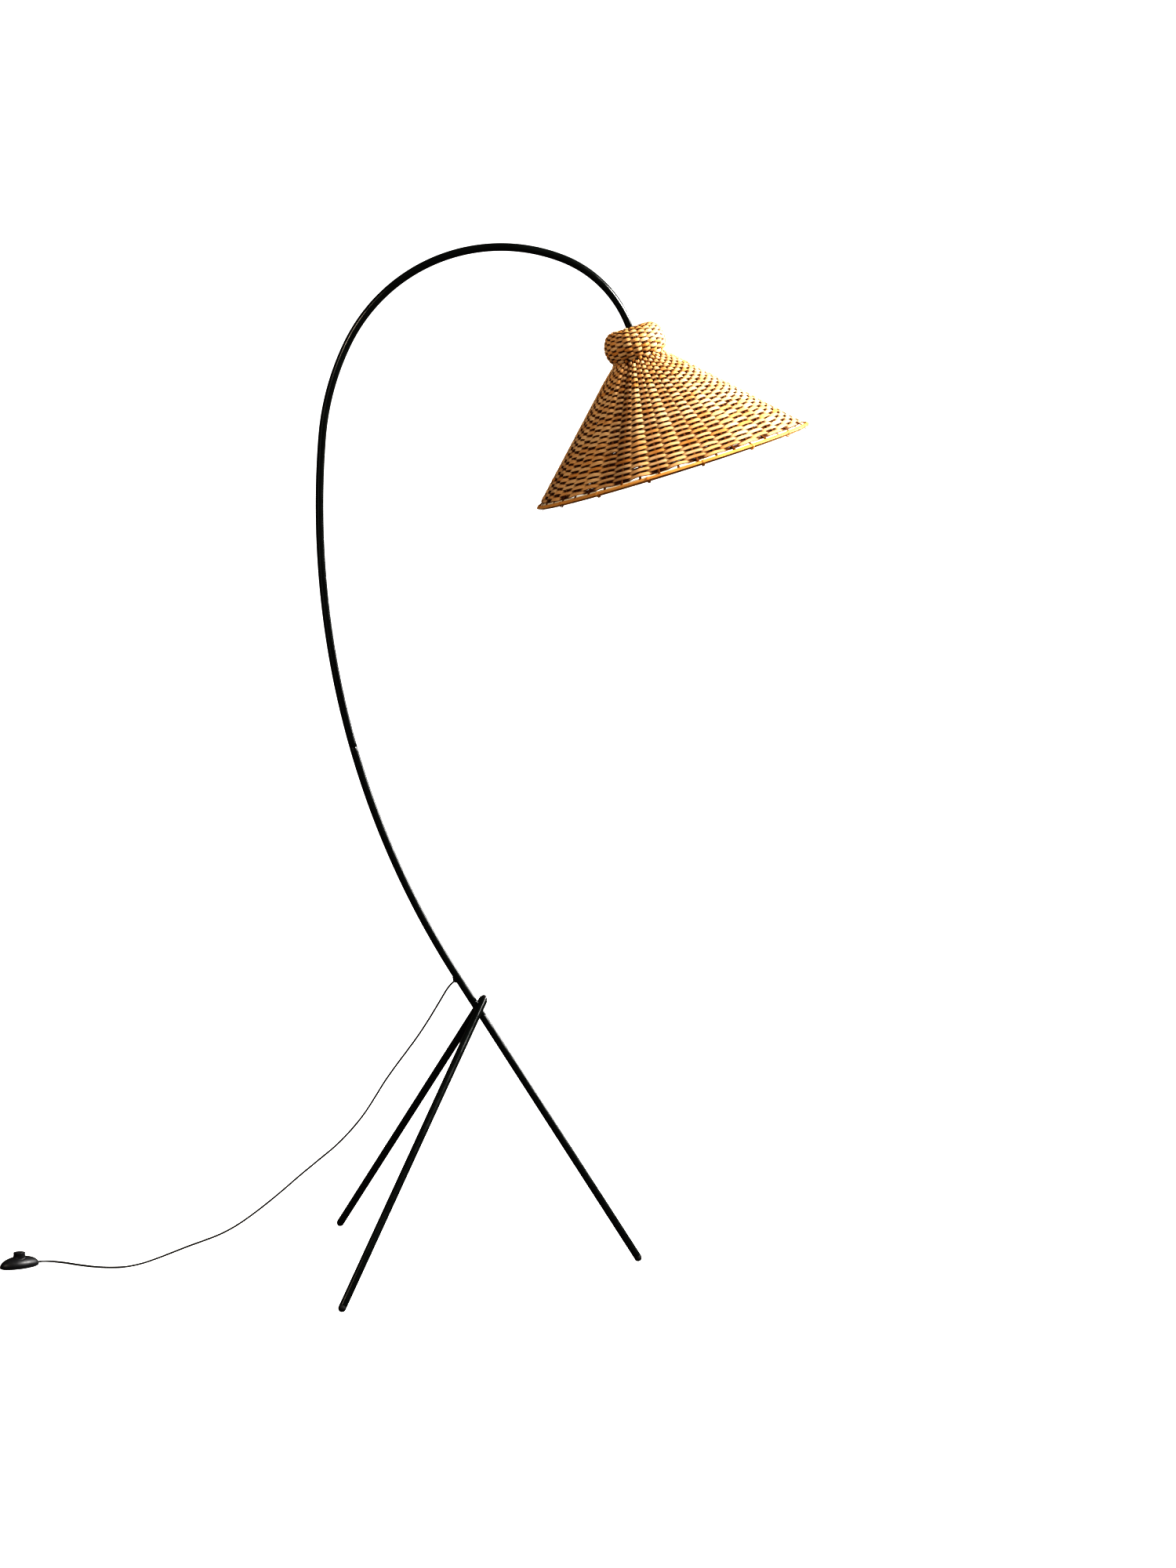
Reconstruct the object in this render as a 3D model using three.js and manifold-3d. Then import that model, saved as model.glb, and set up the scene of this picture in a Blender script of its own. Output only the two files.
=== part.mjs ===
// Rattan arc floor lamp: a bent steel tube on a tripod of steel tubes carries a woven cane shade.
// A flat two-core cord runs inside the tube, leaves it above the hub and goes by a foot switch to a plug.
// Lengths are in millimetres and angles in degrees. +Z is up, and the floor is at z = 0.
import * as THREE from 'three';
import { mergeVertices } from 'three/addons/utils/BufferGeometryUtils.js';
import Module from 'manifold-3d';

const wasm = await Module();
wasm.setup();

// Clearances: between seated pieces, past the face that a tool cuts, and between points taken as one
const gap = 0.3;
const overrun = 3;
const weld = 0.0001;

// Where the hub stands, left of the middle of the lamp
const hubOffset = -137.3;

// Steel tube of the legs and the arc
const tubeRadius = 6.35;
const tubeWall = 1.2;
const boreRadius = tubeRadius - tubeWall;
const plugRadius = boreRadius - gap;

// Hub core, on the line that the arc's foot and the right leg share
const hubHeight = 421;
const mainTilt = 32.1;
const coreTop = 17;
const coreBottom = 10.5;
const spigotLength = 30;
const spigotChamfer = 1;

// Left legs, which cross the hub at its sides
const legGap = 2.4;
const legCrossing = 7.1;
const legTilt = 39.95;
const legAzimuth = 49.83;
const legTop = 10;
const bossRadius = 5.5;
const bossShort = 3.4;

// Leg screws and set screws
const screwRadius = 2.4;
const screwDepth = 2.6;
const screwHeadRadius = 3.3;
const screwDome = 1.1;
const setScrewRadius = 2;
const setScrewDepth = 2.4;

// Foot caps and top plugs of the legs
const footHeight = 5.6;
const capCollar = 3;
const capStem = 15;
const topPlugOut = 2;
const topPlugStem = 6;
const capSteps = 4;

// The arc: straight runs and bends, all to the right, from the hub to the shade
const footRun = 67.5;
const riseRadius = 1413.9;
const riseSweep = 36.87;
const shoulderRadius = 417.5;
const shoulderSweep = 21.37;
const crownRadius = 274.2;
const crownSweep = 84.67;
const fallRadius = 183.8;
const fallSweep = 51.79;
const tipRun = 16;
const arcBends = [
  { run: footRun },
  { radius: riseRadius, sweep: riseSweep },
  { radius: shoulderRadius, sweep: shoulderSweep },
  { radius: crownRadius, sweep: crownSweep },
  { radius: fallRadius, sweep: fallSweep },
  { run: tipRun },
];
const seamAlong = 478;
const jointSpigotHalf = 35;
const jointSpigotWall = 1.2;
const seamScrewAlong = 18;
const tubeSides = 12;
const longestStep = 62;
const widestStep = 6;

// Grommet where the cord leaves the tube
const exitAlong = 64;
const exitHeading = 222;
const grommetReach = 2.6;
const grommetAcross = 4.6;
const grommetAlong = 7.6;
const grommetFaceShare = 0.78;
const grommetWall = 1.1;
const grommetLip = 1.2;

// Flat cord, as wide and thick over its sheath
const cordWidth = 5;
const cordThickness = 3;
const cordStep = 14;

// Shade: cone, knob above the neck, and rim hoops
const rimRadius = 229.25;
const coneHeight = 182;
const neckRadius = 43;
const knobRadius = 51.5;
const knobHeight = 52;
const knobShares = [
  [0.192, 0.961],
  [0.4615, 1],
  [0.654, 0.961],
  [0.846, 0.864],
  [0.955, 0.73],
  [1, 0.58],
];
const knobHoleRadius = 8;
const shadeWall = 2.4;
const hoopThickness = 2.2;
const hoopHeight = 7;
const shadeSides = 44;
const coneRows = 12;
const weaveRelief = 1.2;

// Shade carrier in the neck
const carrierWire = 1.5;
const carrierInner = 20;
const carrierOuter = 24;
const carrierThickness = 2;
const spokeCount = 3;
const spokeRadius = 0.9;

// Lampholder and bulb, measured from the neck along the shade's axis
const holderDrop = 25.7;
const holderRadius = 19.2;
const holderBottom = 38;
const holderFlangeRadius = 22;
const holderFlangeHeight = 3.7;
const holderWall = 2;
const holderSides = 20;
const holderTop = 12;
const capSkirt = 9;
const capNeckRadius = 8;
const nippleInsert = 12;
const nippleEnd = 16;
const nippleBore = 3.4;
const nutRadius = 8;
const nutHeight = 4;
const insertTop = 4;
const insertHeight = 10;
const shellRadius = 14.4;
const shellWall = 0.7;
const shellHeight = 24;
const contactRadius = 3;
const contactHeight = 1.2;
const ringRadius = 26;
const ringHeight = 10;
const bulbCapHeight = 26;
const bulbRadius = 30;
const bulbLength = 88;
const bulbNeckRadius = 12.5;
const bulbWall = 1;
const globeFrom = 33.75;
const globeSteps = 5;
const bulbShares = [
  [0, 1],
  [0.18, 1.1],
  [0.36, 1.62],
];

// Foot switch, an oval dome with a round collar and a push button
const switchPlace = [-751, 37];
const switchTurn = 30;
const switchHalfLength = 33.5;
const switchHalfWidth = 17;
const switchWall = 1.8;
const switchFloor = 1.5;
const switchSplit = 4;
const switchDome = 18.5;
const domePower = 2.4;
const domeSteps = 5;
const bottomChamfer = 1.2;
const collarRadius = 9.75;
const collarWall = 1.7;
const collarTop = 24.4;
const buttonTop = 24.9;
const buttonTravel = 3;
const buttonEdge = 0.8;
const buttonFlangeRadius = 9;
const buttonFlangeHeight = 1.5;
const buttonStemRadius = 2.6;
const bumpRadius = 2.6;
const bumpHeight = 1;
const bumpPlace = 4.6;
const moduleLength = 26;
const moduleWidth = 15;
const moduleTop = 8;
const terminalLength = 5;
const terminalWidth = 8;
const terminalTop = 5.8;
const springRadius = 4.4;
const springWire = 0.4;
const springTurns = 3;
const shellScrewPlace = [22.5, 6];
const shellScrewRadius = 1.5;
const shellScrewHead = 2.8;
const shellScrewHeadHeight = 1.3;
const shellBossRadius = 3.2;
const shellScrewTop = 10.5;
const shellBossTop = 12.5;

// Route of the cord from the lamp to the foot switch, hub at x = 0
const lampToSwitch = [
  [-40.9, 0, 469.0], [-45.0, 0, 465.3], [-50.9, 0, 458.2], [-66.0, 0, 433.4], [-81.8, 0, 407.4],
  [-98.6, 0, 381.8], [-117.2, 0, 356.3], [-136.4, 0, 330.8], [-154.4, 0, 305.2], [-170.4, 0, 279.6],
  [-187.2, 0, 253.8], [-207.8, 0, 228.2], [-233.5, 0, 201.8], [-264.6, 0, 176.0], [-293.5, 0, 152.2],
  [-319.2, 0, 130.1], [-344.8, 0, 109.0], [-370.4, 0, 89.4], [-396.0, 0, 71.9], [-421.6, 0, 58.2],
  [-447.1, 0, 48.3], [-472.6, 0, 39.4], [-498.1, 1, 29.5], [-523.6, 4, 19.2], [-549.2, 9, 9.6],
  [-575.0, 14, 3.2], [-600.6, 16, 1.8], [-626.6, 22, 1.8], [-653.0, 36, 1.8], [-676.0, 51.5, 1.8],
  [-695.0, 60.5, 2.1], [-707.0, 60.8, 3.0], [-717.4, 56.4, 4.0], [-721.7, 53.9, 4.0],
];

// Routes from the foot switch to the coil and from the coil to the plug
const switchToCoil = [
  [-780.3, 20.1, 4.0], [-784.6, 17.6, 4.0], [-795.0, 11.6, 3.3], [-806.0, 5.3, 2.8], [-814.5, 0.4, 2.8],
];
const coilToPlug = [
  [-823.7, -4.9, 8.4], [-828.0, -7.4, 8.4], [-840.0, -14.8, 6.6], [-850.5, -24.5, 4.4], [-856.4, -38.0, 3.0],
  [-857.4, -52.0, 3.4], [-857.0, -65.0, 5.4], [-857.0, -74.0, 6.5], [-857.0, -79.0, 6.5],
];

// Coil of the spare cord: turns in each layer, the distance between turns and between layers
const coilCentre = [-836, 27];
const coilStart = -60;
const coilOuterRadius = 33.8;
const coilTurns = 3;
const coilPitch = 4.2;
const coilLayer = 5.6;
const coilBottom = 2.8;
const coilTail = 5;
const coilClimb = 0.5;
const coilStepsPerTurn = 22;
const coilSides = 6;
const coilLeastGap = 0.4;

// Flat two-pin plug
const plugPlace = [-857, -79.3];
const plugTurn = -90;
const plugThickness = 13;
const plugLength = 33;
const plugHalfWidth = 17.6;
const plugEdge = 1.5;
const plugOutlineShares = [
  [0, 0.4],
  [0.45, 0.52],
  [0.68, 0.72],
  [0.8, 1],
  [1, 1],
];
const reliefLength = 24;
const reliefSmall = 3.4;
const reliefLarge = 5.6;
const reliefRibs = 4;
const reliefRib = 0.5;
const pinRadius = 2;
const pinLength = 19;
const pinSpacing = 18;
const pinInside = 8;

const rad = THREE.MathUtils.degToRad;
const quarter = 90;
const fullTurn = 2 * Math.PI;
const vec = (x, y, z) => new THREE.Vector3(x, y, z);
const across = vec(0, 1, 0);

const lamp = new THREE.Group();
lamp.position.x = hubOffset;

// Finishes: colour, roughness and metalness
const blackPaint = [0x0b0c0b, 0.3, 0.4];
const blackPlastic = [0x131314, 0.45, 0];
const blackRubber = [0x101010, 0.7, 0];
const steel = [0xb6b8bb, 0.3, 1];
const brass = [0xc9a24e, 0.35, 1];
const cane = [0xd9a866, 0.55, 0];
const hoopCane = [0xe6c48a, 0.5, 0];
const porcelain = [0xf1eee6, 0.3, 0];
const opalGlass = [0xf6f4ee, 0.25, 0];

// A closed geometry becomes a solid whose faces point out. Lathes leave flat triangles at their poles.
function solid(geometry) {
  const bare = geometry.clone();
  bare.deleteAttribute('normal');
  bare.deleteAttribute('uv');
  const merged = mergeVertices(bare, weld);
  const points = new Float32Array(merged.attributes.position.array);
  const index = merged.index.array;
  const corner = (i) => vec(points[3 * i], points[3 * i + 1], points[3 * i + 2]);
  const kept = [];
  let volume = 0;
  for (let i = 0; i < index.length; i += 3) {
    const [a, b, c] = [index[i], index[i + 1], index[i + 2]];
    if (a === b || b === c || c === a) continue;
    kept.push(a, b, c);
    volume += corner(a).dot(corner(b).cross(corner(c)));
  }
  if (volume < 0) kept.reverse();
  return new wasm.Manifold(new wasm.Mesh({
    numProp: 3,
    vertProperties: points,
    triVerts: new Uint32Array(kept),
  }));
}

// A solid becomes a named mesh of the lamp.
function piece(name, finish, body, parent = lamp) {
  const { vertProperties, triVerts, numProp } = body.getMesh();
  const count = vertProperties.length / numProp;
  const points = new Float32Array(3 * count);
  for (let i = 0; i < count; i++) {
    points.set(vertProperties.subarray(numProp * i, numProp * i + 3), 3 * i);
  }
  const geometry = new THREE.BufferGeometry();
  geometry.setAttribute('position', new THREE.BufferAttribute(points, 3));
  geometry.setIndex(new THREE.BufferAttribute(new Uint32Array(triVerts), 1));
  geometry.computeVertexNormals();
  const [color, roughness, metalness] = finish;
  const mesh = new THREE.Mesh(geometry, new THREE.MeshStandardMaterial({ color, roughness, metalness }));
  mesh.name = name;
  parent.add(mesh);
  return mesh;
}

// A geometry from corners as one list of coordinates, and faces as one list of corner numbers
function meshed(points, faces) {
  const geometry = new THREE.BufferGeometry();
  geometry.setAttribute('position', new THREE.Float32BufferAttribute(points, 3));
  geometry.setIndex(faces);
  return geometry;
}

// A turned form about Z, from points of radius and height
function turned(profile, sides) {
  const points = profile.map(([radius, height]) => new THREE.Vector2(radius, height));
  return new THREE.LatheGeometry(points, sides).rotateX(rad(quarter));
}

function rod(radius, low, high, sides = 20) {
  return turned([[0, low], [radius, low], [radius, high], [0, high]], sides);
}

function ring(outer, inner, low, high, sides = 32) {
  return turned([[inner, low], [outer, low], [outer, high], [inner, high], [inner, low]], sides);
}

// Turns a geometry's Z along a direction, with its X as near as can be to a side, and moves it.
function aimed(geometry, origin, direction, side = across) {
  const z = direction.clone().normalize();
  const x = side.clone().addScaledVector(z, -side.dot(z)).normalize();
  const y = z.clone().cross(x);
  return geometry.applyMatrix4(new THREE.Matrix4().makeBasis(x, y, z).setPosition(origin));
}

// An oval outline, as wide and high as asked, with corners on its axes
function oval(width, height, sides) {
  const points = [];
  for (let k = 0; k < sides; k++) {
    const angle = fullTurn * k / sides;
    points.push(new THREE.Vector2(width / 2 * Math.cos(angle), height / 2 * Math.sin(angle)));
  }
  return points;
}

function swept(outline, path, steps, hole = null) {
  const shape = new THREE.Shape(outline);
  if (hole) shape.holes.push(new THREE.Path(hole));
  return new THREE.ExtrudeGeometry(shape, { steps, extrudePath: path, bevelEnabled: false });
}

// Place and direction on the arc's centreline, at a distance from the hub
function arcAt(distance) {
  let heading = rad(quarter + mainTilt);
  let left = distance;
  const point = vec(0, 0, hubHeight);
  const last = arcBends.at(-1);
  for (const bend of arcBends) {
    const length = bend.run ?? bend.radius * rad(bend.sweep);
    const step = bend === last ? left : Math.min(left, length);
    if (bend.run) {
      point.x += step * Math.cos(heading);
      point.z += step * Math.sin(heading);
    } else {
      const headingAfter = heading - step / bend.radius;
      point.x += bend.radius * (Math.sin(heading) - Math.sin(headingAfter));
      point.z += bend.radius * (Math.cos(headingAfter) - Math.cos(heading));
      heading = headingAfter;
    }
    left -= step;
    if (left <= 0) break;
  }
  return { point, tangent: vec(Math.cos(heading), 0, Math.sin(heading)) };
}

const arcLength = arcBends.reduce((sum, bend) => sum + (bend.run ?? bend.radius * rad(bend.sweep)), 0);

// The stretch of the arc's centreline between two distances from the hub. Its stations, where a tube
// has its rings, are close in tight bends and far apart in long ones.
class ArcStretch extends THREE.Curve {
  constructor(from, to) {
    super();
    this.stations = [from];
    let start = 0;
    for (const bend of arcBends) {
      const length = bend.run ?? bend.radius * rad(bend.sweep);
      const low = Math.max(start, from);
      const high = Math.min(start + length, to);
      const turn = bend.run ? 0 : (high - low) / bend.radius;
      const count = Math.ceil(Math.max((high - low) / longestStep, turn / rad(widestStep)));
      for (let k = 1; k <= count; k++) this.stations.push(THREE.MathUtils.lerp(low, high, k / count));
      start += length;
    }
    if (to > start) this.stations.push(to);
    this.steps = this.stations.length - 1;
  }

  along(t) {
    const step = Math.min(Math.floor(t * this.steps), this.steps - 1);
    return THREE.MathUtils.lerp(this.stations[step], this.stations[step + 1], t * this.steps - step);
  }

  getPoint(t, target = vec(0, 0, 0)) {
    return target.copy(arcAt(this.along(t)).point);
  }

  getTangent(t, target = vec(0, 0, 0)) {
    return target.copy(arcAt(this.along(t)).tangent);
  }

  getPointAt(u, target) {
    return this.getPoint(u, target);
  }

  getTangentAt(u, target) {
    return this.getTangent(u, target);
  }
}

function arcTube(outer, inner, from, to) {
  const stretch = new ArcStretch(from, to);
  const outline = oval(2 * outer, 2 * outer, tubeSides);
  const hole = oval(2 * inner, 2 * inner, tubeSides);
  return solid(swept(outline, stretch, stretch.steps, hole));
}

const hub = arcAt(0).point;
const mainAxis = arcAt(0).tangent;

// A set screw in the tube's rear side, flush with it, and the hole that it takes
function setScrewAt(distance, extra) {
  const { point } = arcAt(distance);
  return solid(aimed(
    rod(setScrewRadius + extra, plugRadius - setScrewDepth - extra, tubeRadius + (extra ? overrun : 0), 12),
    point, across, mainAxis,
  ));
}

// The two left legs, one toward the viewer and one away
const legs = [
  { name: 'front', side: -1 },
  { name: 'rear', side: 1 },
].map(({ name, side }) => {
  const direction = vec(
    Math.sin(rad(legTilt)) * Math.cos(rad(legAzimuth)),
    -side * Math.sin(rad(legTilt)) * Math.sin(rad(legAzimuth)),
    Math.cos(rad(legTilt)),
  );
  const outward = mainAxis.clone().cross(direction).normalize().multiplyScalar(side);
  const root = hub.clone().addScaledVector(mainAxis, legCrossing);
  const crossing = root.clone().addScaledVector(outward, 2 * tubeRadius + legGap);
  return { name, direction, outward, root, crossing };
});

// Hub block: a turned core with two spigots and a saddled boss for each left leg
let hubBlock = solid(aimed(turned([
  [0, -coreBottom - spigotLength],
  [plugRadius - spigotChamfer, -coreBottom - spigotLength],
  [plugRadius, -coreBottom - spigotLength + spigotChamfer],
  [plugRadius, -coreBottom + gap],
  [tubeRadius, -coreBottom + gap],
  [tubeRadius, coreTop - gap],
  [plugRadius, coreTop - gap],
  [plugRadius, coreTop + spigotLength - spigotChamfer],
  [plugRadius - spigotChamfer, coreTop + spigotLength],
  [0, coreTop + spigotLength],
], 20), hub, mainAxis));

const legPitch = 2 * tubeRadius + legGap;
for (const leg of legs) {
  const boss = solid(aimed(rod(bossRadius, 0, legPitch - bossShort, 16), leg.root, leg.outward));
  const saddle = solid(aimed(rod(tubeRadius + gap, -legPitch, legPitch, 16), leg.crossing, leg.direction));
  hubBlock = hubBlock.add(boss.subtract(saddle));
}
for (const leg of legs) {
  const hole = solid(aimed(rod(screwRadius + gap, screwDepth - gap, legPitch, 10), leg.root, leg.outward));
  hubBlock = hubBlock.subtract(hole);
}
const hubScrewAlong = coreTop + spigotLength / 2;
const rightScrewAlong = -coreBottom - spigotLength / 2;
hubBlock = hubBlock.subtract(setScrewAt(hubScrewAlong, gap)).subtract(setScrewAt(rightScrewAlong, gap));
piece('hub_block', blackPaint, hubBlock);

// Straight leg tubes
for (const leg of legs) {
  const down = (leg.crossing.z - footHeight) / leg.direction.z;
  const tube = ring(tubeRadius, boreRadius, -down + capCollar + gap, legTop, 16);
  const nearHole = solid(aimed(rod(screwRadius + gap, 0, legPitch, 10), leg.root, leg.outward));
  const farHole = solid(aimed(
    rod(screwHeadRadius + gap, legPitch, legPitch + tubeRadius + overrun, 16), leg.root, leg.outward,
  ));
  leg.foot = leg.crossing.clone().addScaledVector(leg.direction, -down);
  piece(`${leg.name}_leg_tube`, blackPaint,
    solid(aimed(tube, leg.crossing, leg.direction)).subtract(nearHole).subtract(farHole));

  // The screw's long head bears on the tube's inner wall and ends flush with its outer side.
  const headLow = legPitch - Math.sqrt(boreRadius ** 2 - screwHeadRadius ** 2) + gap;
  const headHigh = legPitch + tubeRadius;
  piece(`${leg.name}_leg_screw`, blackPaint, solid(aimed(turned([
    [0, screwDepth],
    [screwRadius, screwDepth],
    [screwRadius, headLow],
    [screwHeadRadius, headLow],
    [screwHeadRadius, headHigh - screwDome],
    [screwHeadRadius / 2, headHigh],
    [0, headHigh],
  ], 12), leg.root, leg.outward)));

  // Domed plug in the leg's upper end
  const dome = [[0, -topPlugStem], [plugRadius, -topPlugStem]];
  for (let k = 0; k <= capSteps; k++) {
    const angle = rad(quarter) * k / capSteps;
    dome.push([plugRadius * Math.cos(angle), topPlugOut + plugRadius * Math.sin(angle)]);
  }
  dome.at(-1)[0] = 0;
  const plugOrigin = leg.crossing.clone().addScaledVector(leg.direction, legTop);
  piece(`${leg.name}_leg_top_plug`, blackPlastic, solid(aimed(turned(dome, 16), plugOrigin, leg.direction)));
}

// Right leg, in line with the foot of the arc
const rightDown = (hubHeight - footHeight) / mainAxis.z;
const rightFoot = hub.clone().addScaledVector(mainAxis, -rightDown);
const rightTube = ring(tubeRadius, boreRadius, -rightDown + capCollar + gap, -coreBottom, 16);
piece('right_leg_tube', blackPaint,
  solid(aimed(rightTube, hub, mainAxis)).subtract(setScrewAt(rightScrewAlong, gap)));
piece('right_leg_set_screw', steel, setScrewAt(rightScrewAlong, 0));

// Foot caps: round ends with a stem in the tube, cut flat where they stand on the floor
function footCap(foot, direction) {
  const profile = [];
  for (let k = 0; k <= capSteps; k++) {
    const angle = rad(quarter) * (k / capSteps - 1);
    profile.push([tubeRadius * Math.cos(angle), tubeRadius * Math.sin(angle)]);
  }
  profile[0][0] = 0;
  profile.push([tubeRadius, capCollar], [plugRadius, capCollar], [plugRadius, capStem - spigotChamfer]);
  profile.push([plugRadius - spigotChamfer, capStem], [0, capStem]);
  const floor = new THREE.BoxGeometry(4 * tubeRadius, 4 * tubeRadius, 2 * tubeRadius);
  floor.translate(foot.x, foot.y, -tubeRadius);
  return solid(aimed(turned(profile, 16), foot, direction)).subtract(solid(floor));
}
piece('front_foot_cap', blackRubber, footCap(legs[0].foot, legs[0].direction));
piece('rear_foot_cap', blackRubber, footCap(legs[1].foot, legs[1].direction));
piece('right_foot_cap', blackRubber, footCap(rightFoot, mainAxis));

// Grommet: a tapered oval outside, a neck through the tube's wall and a lip inside
const exitPoint = arcAt(exitAlong).point;
const exitDirection = vec(Math.cos(rad(exitHeading)), 0, Math.sin(rad(exitHeading)));
const cordHole = [cordWidth / 2 + gap, cordThickness / 2 + gap];
const neckHalf = [cordHole[0] + grommetWall, cordHole[1] + grommetWall];
const exitFace = tubeRadius + grommetReach;

function ovalRod(halfX, halfY, low, high, topShare = 1) {
  const profile = [[0, low], [1, low], [topShare, high], [0, high]];
  return solid(aimed(turned(profile, 14).scale(halfX, halfY, 1), exitPoint, exitDirection));
}

const besideExit = 4 * tubeRadius;
const tubeAxisRod = (radius) => solid(aimed(
  rod(radius, -besideExit, besideExit, 20), exitPoint, arcAt(exitAlong).tangent,
));
const grommetOutside = ovalRod(grommetAcross, grommetAlong, 0, exitFace, grommetFaceShare)
  .subtract(tubeAxisRod(tubeRadius + gap));
const lipLow = cordThickness / 2;
const besideStretch = new ArcStretch(exitAlong - besideExit, exitAlong + besideExit);
const leadSpace = solid(swept(
  oval(cordWidth + 2 * gap, cordThickness + 2 * gap, 8), besideStretch, besideStretch.steps,
));
const grommetInside = ovalRod(neckHalf[0] + gap, neckHalf[1] + grommetLip, lipLow, boreRadius + gap)
  .intersect(tubeAxisRod(boreRadius - gap));
const grommetNeck = ovalRod(neckHalf[0], neckHalf[1], lipLow, exitFace - grommetWall);
const grommet = grommetOutside.add(grommetNeck).add(grommetInside)
  .subtract(ovalRod(cordHole[0], cordHole[1], 0, exitFace + overrun)).subtract(leadSpace);
piece('cord_grommet', blackRubber, grommet);

// Lower and upper sections of the arc, with the spigot that joins them at the seam
const wallHole = ovalRod(neckHalf[0] + gap, neckHalf[1] + gap, 0, exitFace + overrun);
piece('lower_arc_tube', blackPaint,
  arcTube(tubeRadius, boreRadius, coreTop, seamAlong - gap / 2)
    .subtract(wallHole).subtract(setScrewAt(hubScrewAlong, gap)));
piece('arc_set_screw', steel, setScrewAt(hubScrewAlong, 0));
const seamScrew = seamAlong + seamScrewAlong;
const spigotFrom = seamAlong - jointSpigotHalf;
const spigotTo = seamAlong + jointSpigotHalf;
piece('arc_joint_spigot', steel,
  arcTube(plugRadius, plugRadius - jointSpigotWall, spigotFrom, spigotTo)
    .subtract(setScrewAt(seamScrew, gap)));
piece('upper_arc_tube', blackPaint,
  arcTube(tubeRadius, boreRadius, seamAlong + gap / 2, arcLength)
    .subtract(setScrewAt(seamScrew, gap)));
const seamScrewDeep = plugRadius - jointSpigotWall + gap;
piece('arc_joint_set_screw', steel, solid(aimed(
  rod(setScrewRadius, seamScrewDeep, tubeRadius, 12), arcAt(seamScrew).point, across, mainAxis,
)));

// The head hangs on the arc's end. Its local Z runs up the shade's axis, from the middle of the neck.
const head = new THREE.Group();
const arcEnd = arcAt(arcLength);
head.position.copy(arcEnd.point).addScaledVector(arcEnd.tangent, holderDrop);
head.quaternion.setFromUnitVectors(vec(0, 0, 1), arcEnd.tangent.clone().negate());
lamp.add(head);

// Shade outline from the rim to the knob's top, outside
const coneSlant = Math.hypot(rimRadius - neckRadius, coneHeight);
const coneUp = [(neckRadius - rimRadius) / coneSlant, coneHeight / coneSlant];
const coneOut = [coneUp[1], -coneUp[0]];
const shellRim = rimRadius - (hoopThickness + gap) * coneOut[0];
const shadeOutside = [];
for (let k = 0; k <= coneRows; k++) {
  const share = k / coneRows;
  shadeOutside.push([THREE.MathUtils.lerp(shellRim, neckRadius, share), coneHeight * (share - 1)]);
}
for (const [heightShare, radiusShare] of knobShares) {
  shadeOutside.push([knobRadius * radiusShare, knobHeight * heightShare]);
}
shadeOutside.push([knobHoleRadius, knobHeight]);

// The same outline moved inward by the wall
function movedIn(outline, wall) {
  return outline.map(([radius, height], k) => {
    const before = outline[Math.max(k - 1, 0)];
    const after = outline[Math.min(k + 1, outline.length - 1)];
    const length = Math.hypot(after[0] - before[0], after[1] - before[1]);
    const inward = [-(after[1] - before[1]) / length, (after[0] - before[0]) / length];
    return [radius + wall * inward[0], height + wall * inward[1]];
  });
}

const shadeInside = movedIn(shadeOutside, shadeWall);
shadeInside.at(-1)[0] = knobHoleRadius;
const [waistRadius, waistHeight] = shadeInside[coneRows];

// Woven wall: rings of corners up the outside and down the inside. Where a strip goes under a stake the
// outside lies deeper, so every second corner is set in and each crossing stands up from four valleys.
const shadeUnder = movedIn(shadeOutside, weaveRelief);
shadeInside.splice(1, coneRows - 1);
const shadeRings = [...shadeOutside, ...shadeInside.reverse()];
const lastWoven = shadeOutside.length - 2;
const shadePoints = [];
shadeRings.forEach((plain, row) => {
  for (let side = 0; side < shadeSides; side++) {
    const under = row > 0 && row <= lastWoven && (row + side) % 2 === 1;
    const [radius, height] = under ? shadeUnder[row] : plain;
    const angle = fullTurn * side / shadeSides;
    shadePoints.push(radius * Math.cos(angle), radius * Math.sin(angle), height);
  }
});
const shadeFaces = [];
for (let row = 0; row < shadeRings.length; row++) {
  for (let side = 0; side < shadeSides; side++) {
    const [here, above] = [row * shadeSides, (row + 1) % shadeRings.length * shadeSides];
    const next = (side + 1) % shadeSides;
    const [a, b, c, d] = [here + side, here + next, above + next, above + side];
    if ((row + side) % 2) shadeFaces.push(a, b, c, a, c, d);
    else shadeFaces.push(a, b, d, b, c, d);
  }
}
piece('shade_weave', cane, solid(meshed(shadePoints, shadeFaces)), head);

// Rim hoops: cane strips bound round the edge, outside and inside the weave
function hoop(near, far) {
  const corner = (along, out) => [
    shellRim + coneUp[0] * along + coneOut[0] * out,
    -coneHeight + coneUp[1] * along + coneOut[1] * out,
  ];
  const profile = [corner(0, near), corner(0, far), corner(hoopHeight, far), corner(hoopHeight, near)];
  return solid(turned([...profile, profile[0]], shadeSides));
}
piece('rim_hoop_outer', hoopCane, hoop(gap, gap + hoopThickness), head);
const inwardWall = shadeWall + gap;
piece('rim_hoop_inner', hoopCane, hoop(-inwardWall - hoopThickness, -inwardWall), head);

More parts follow.
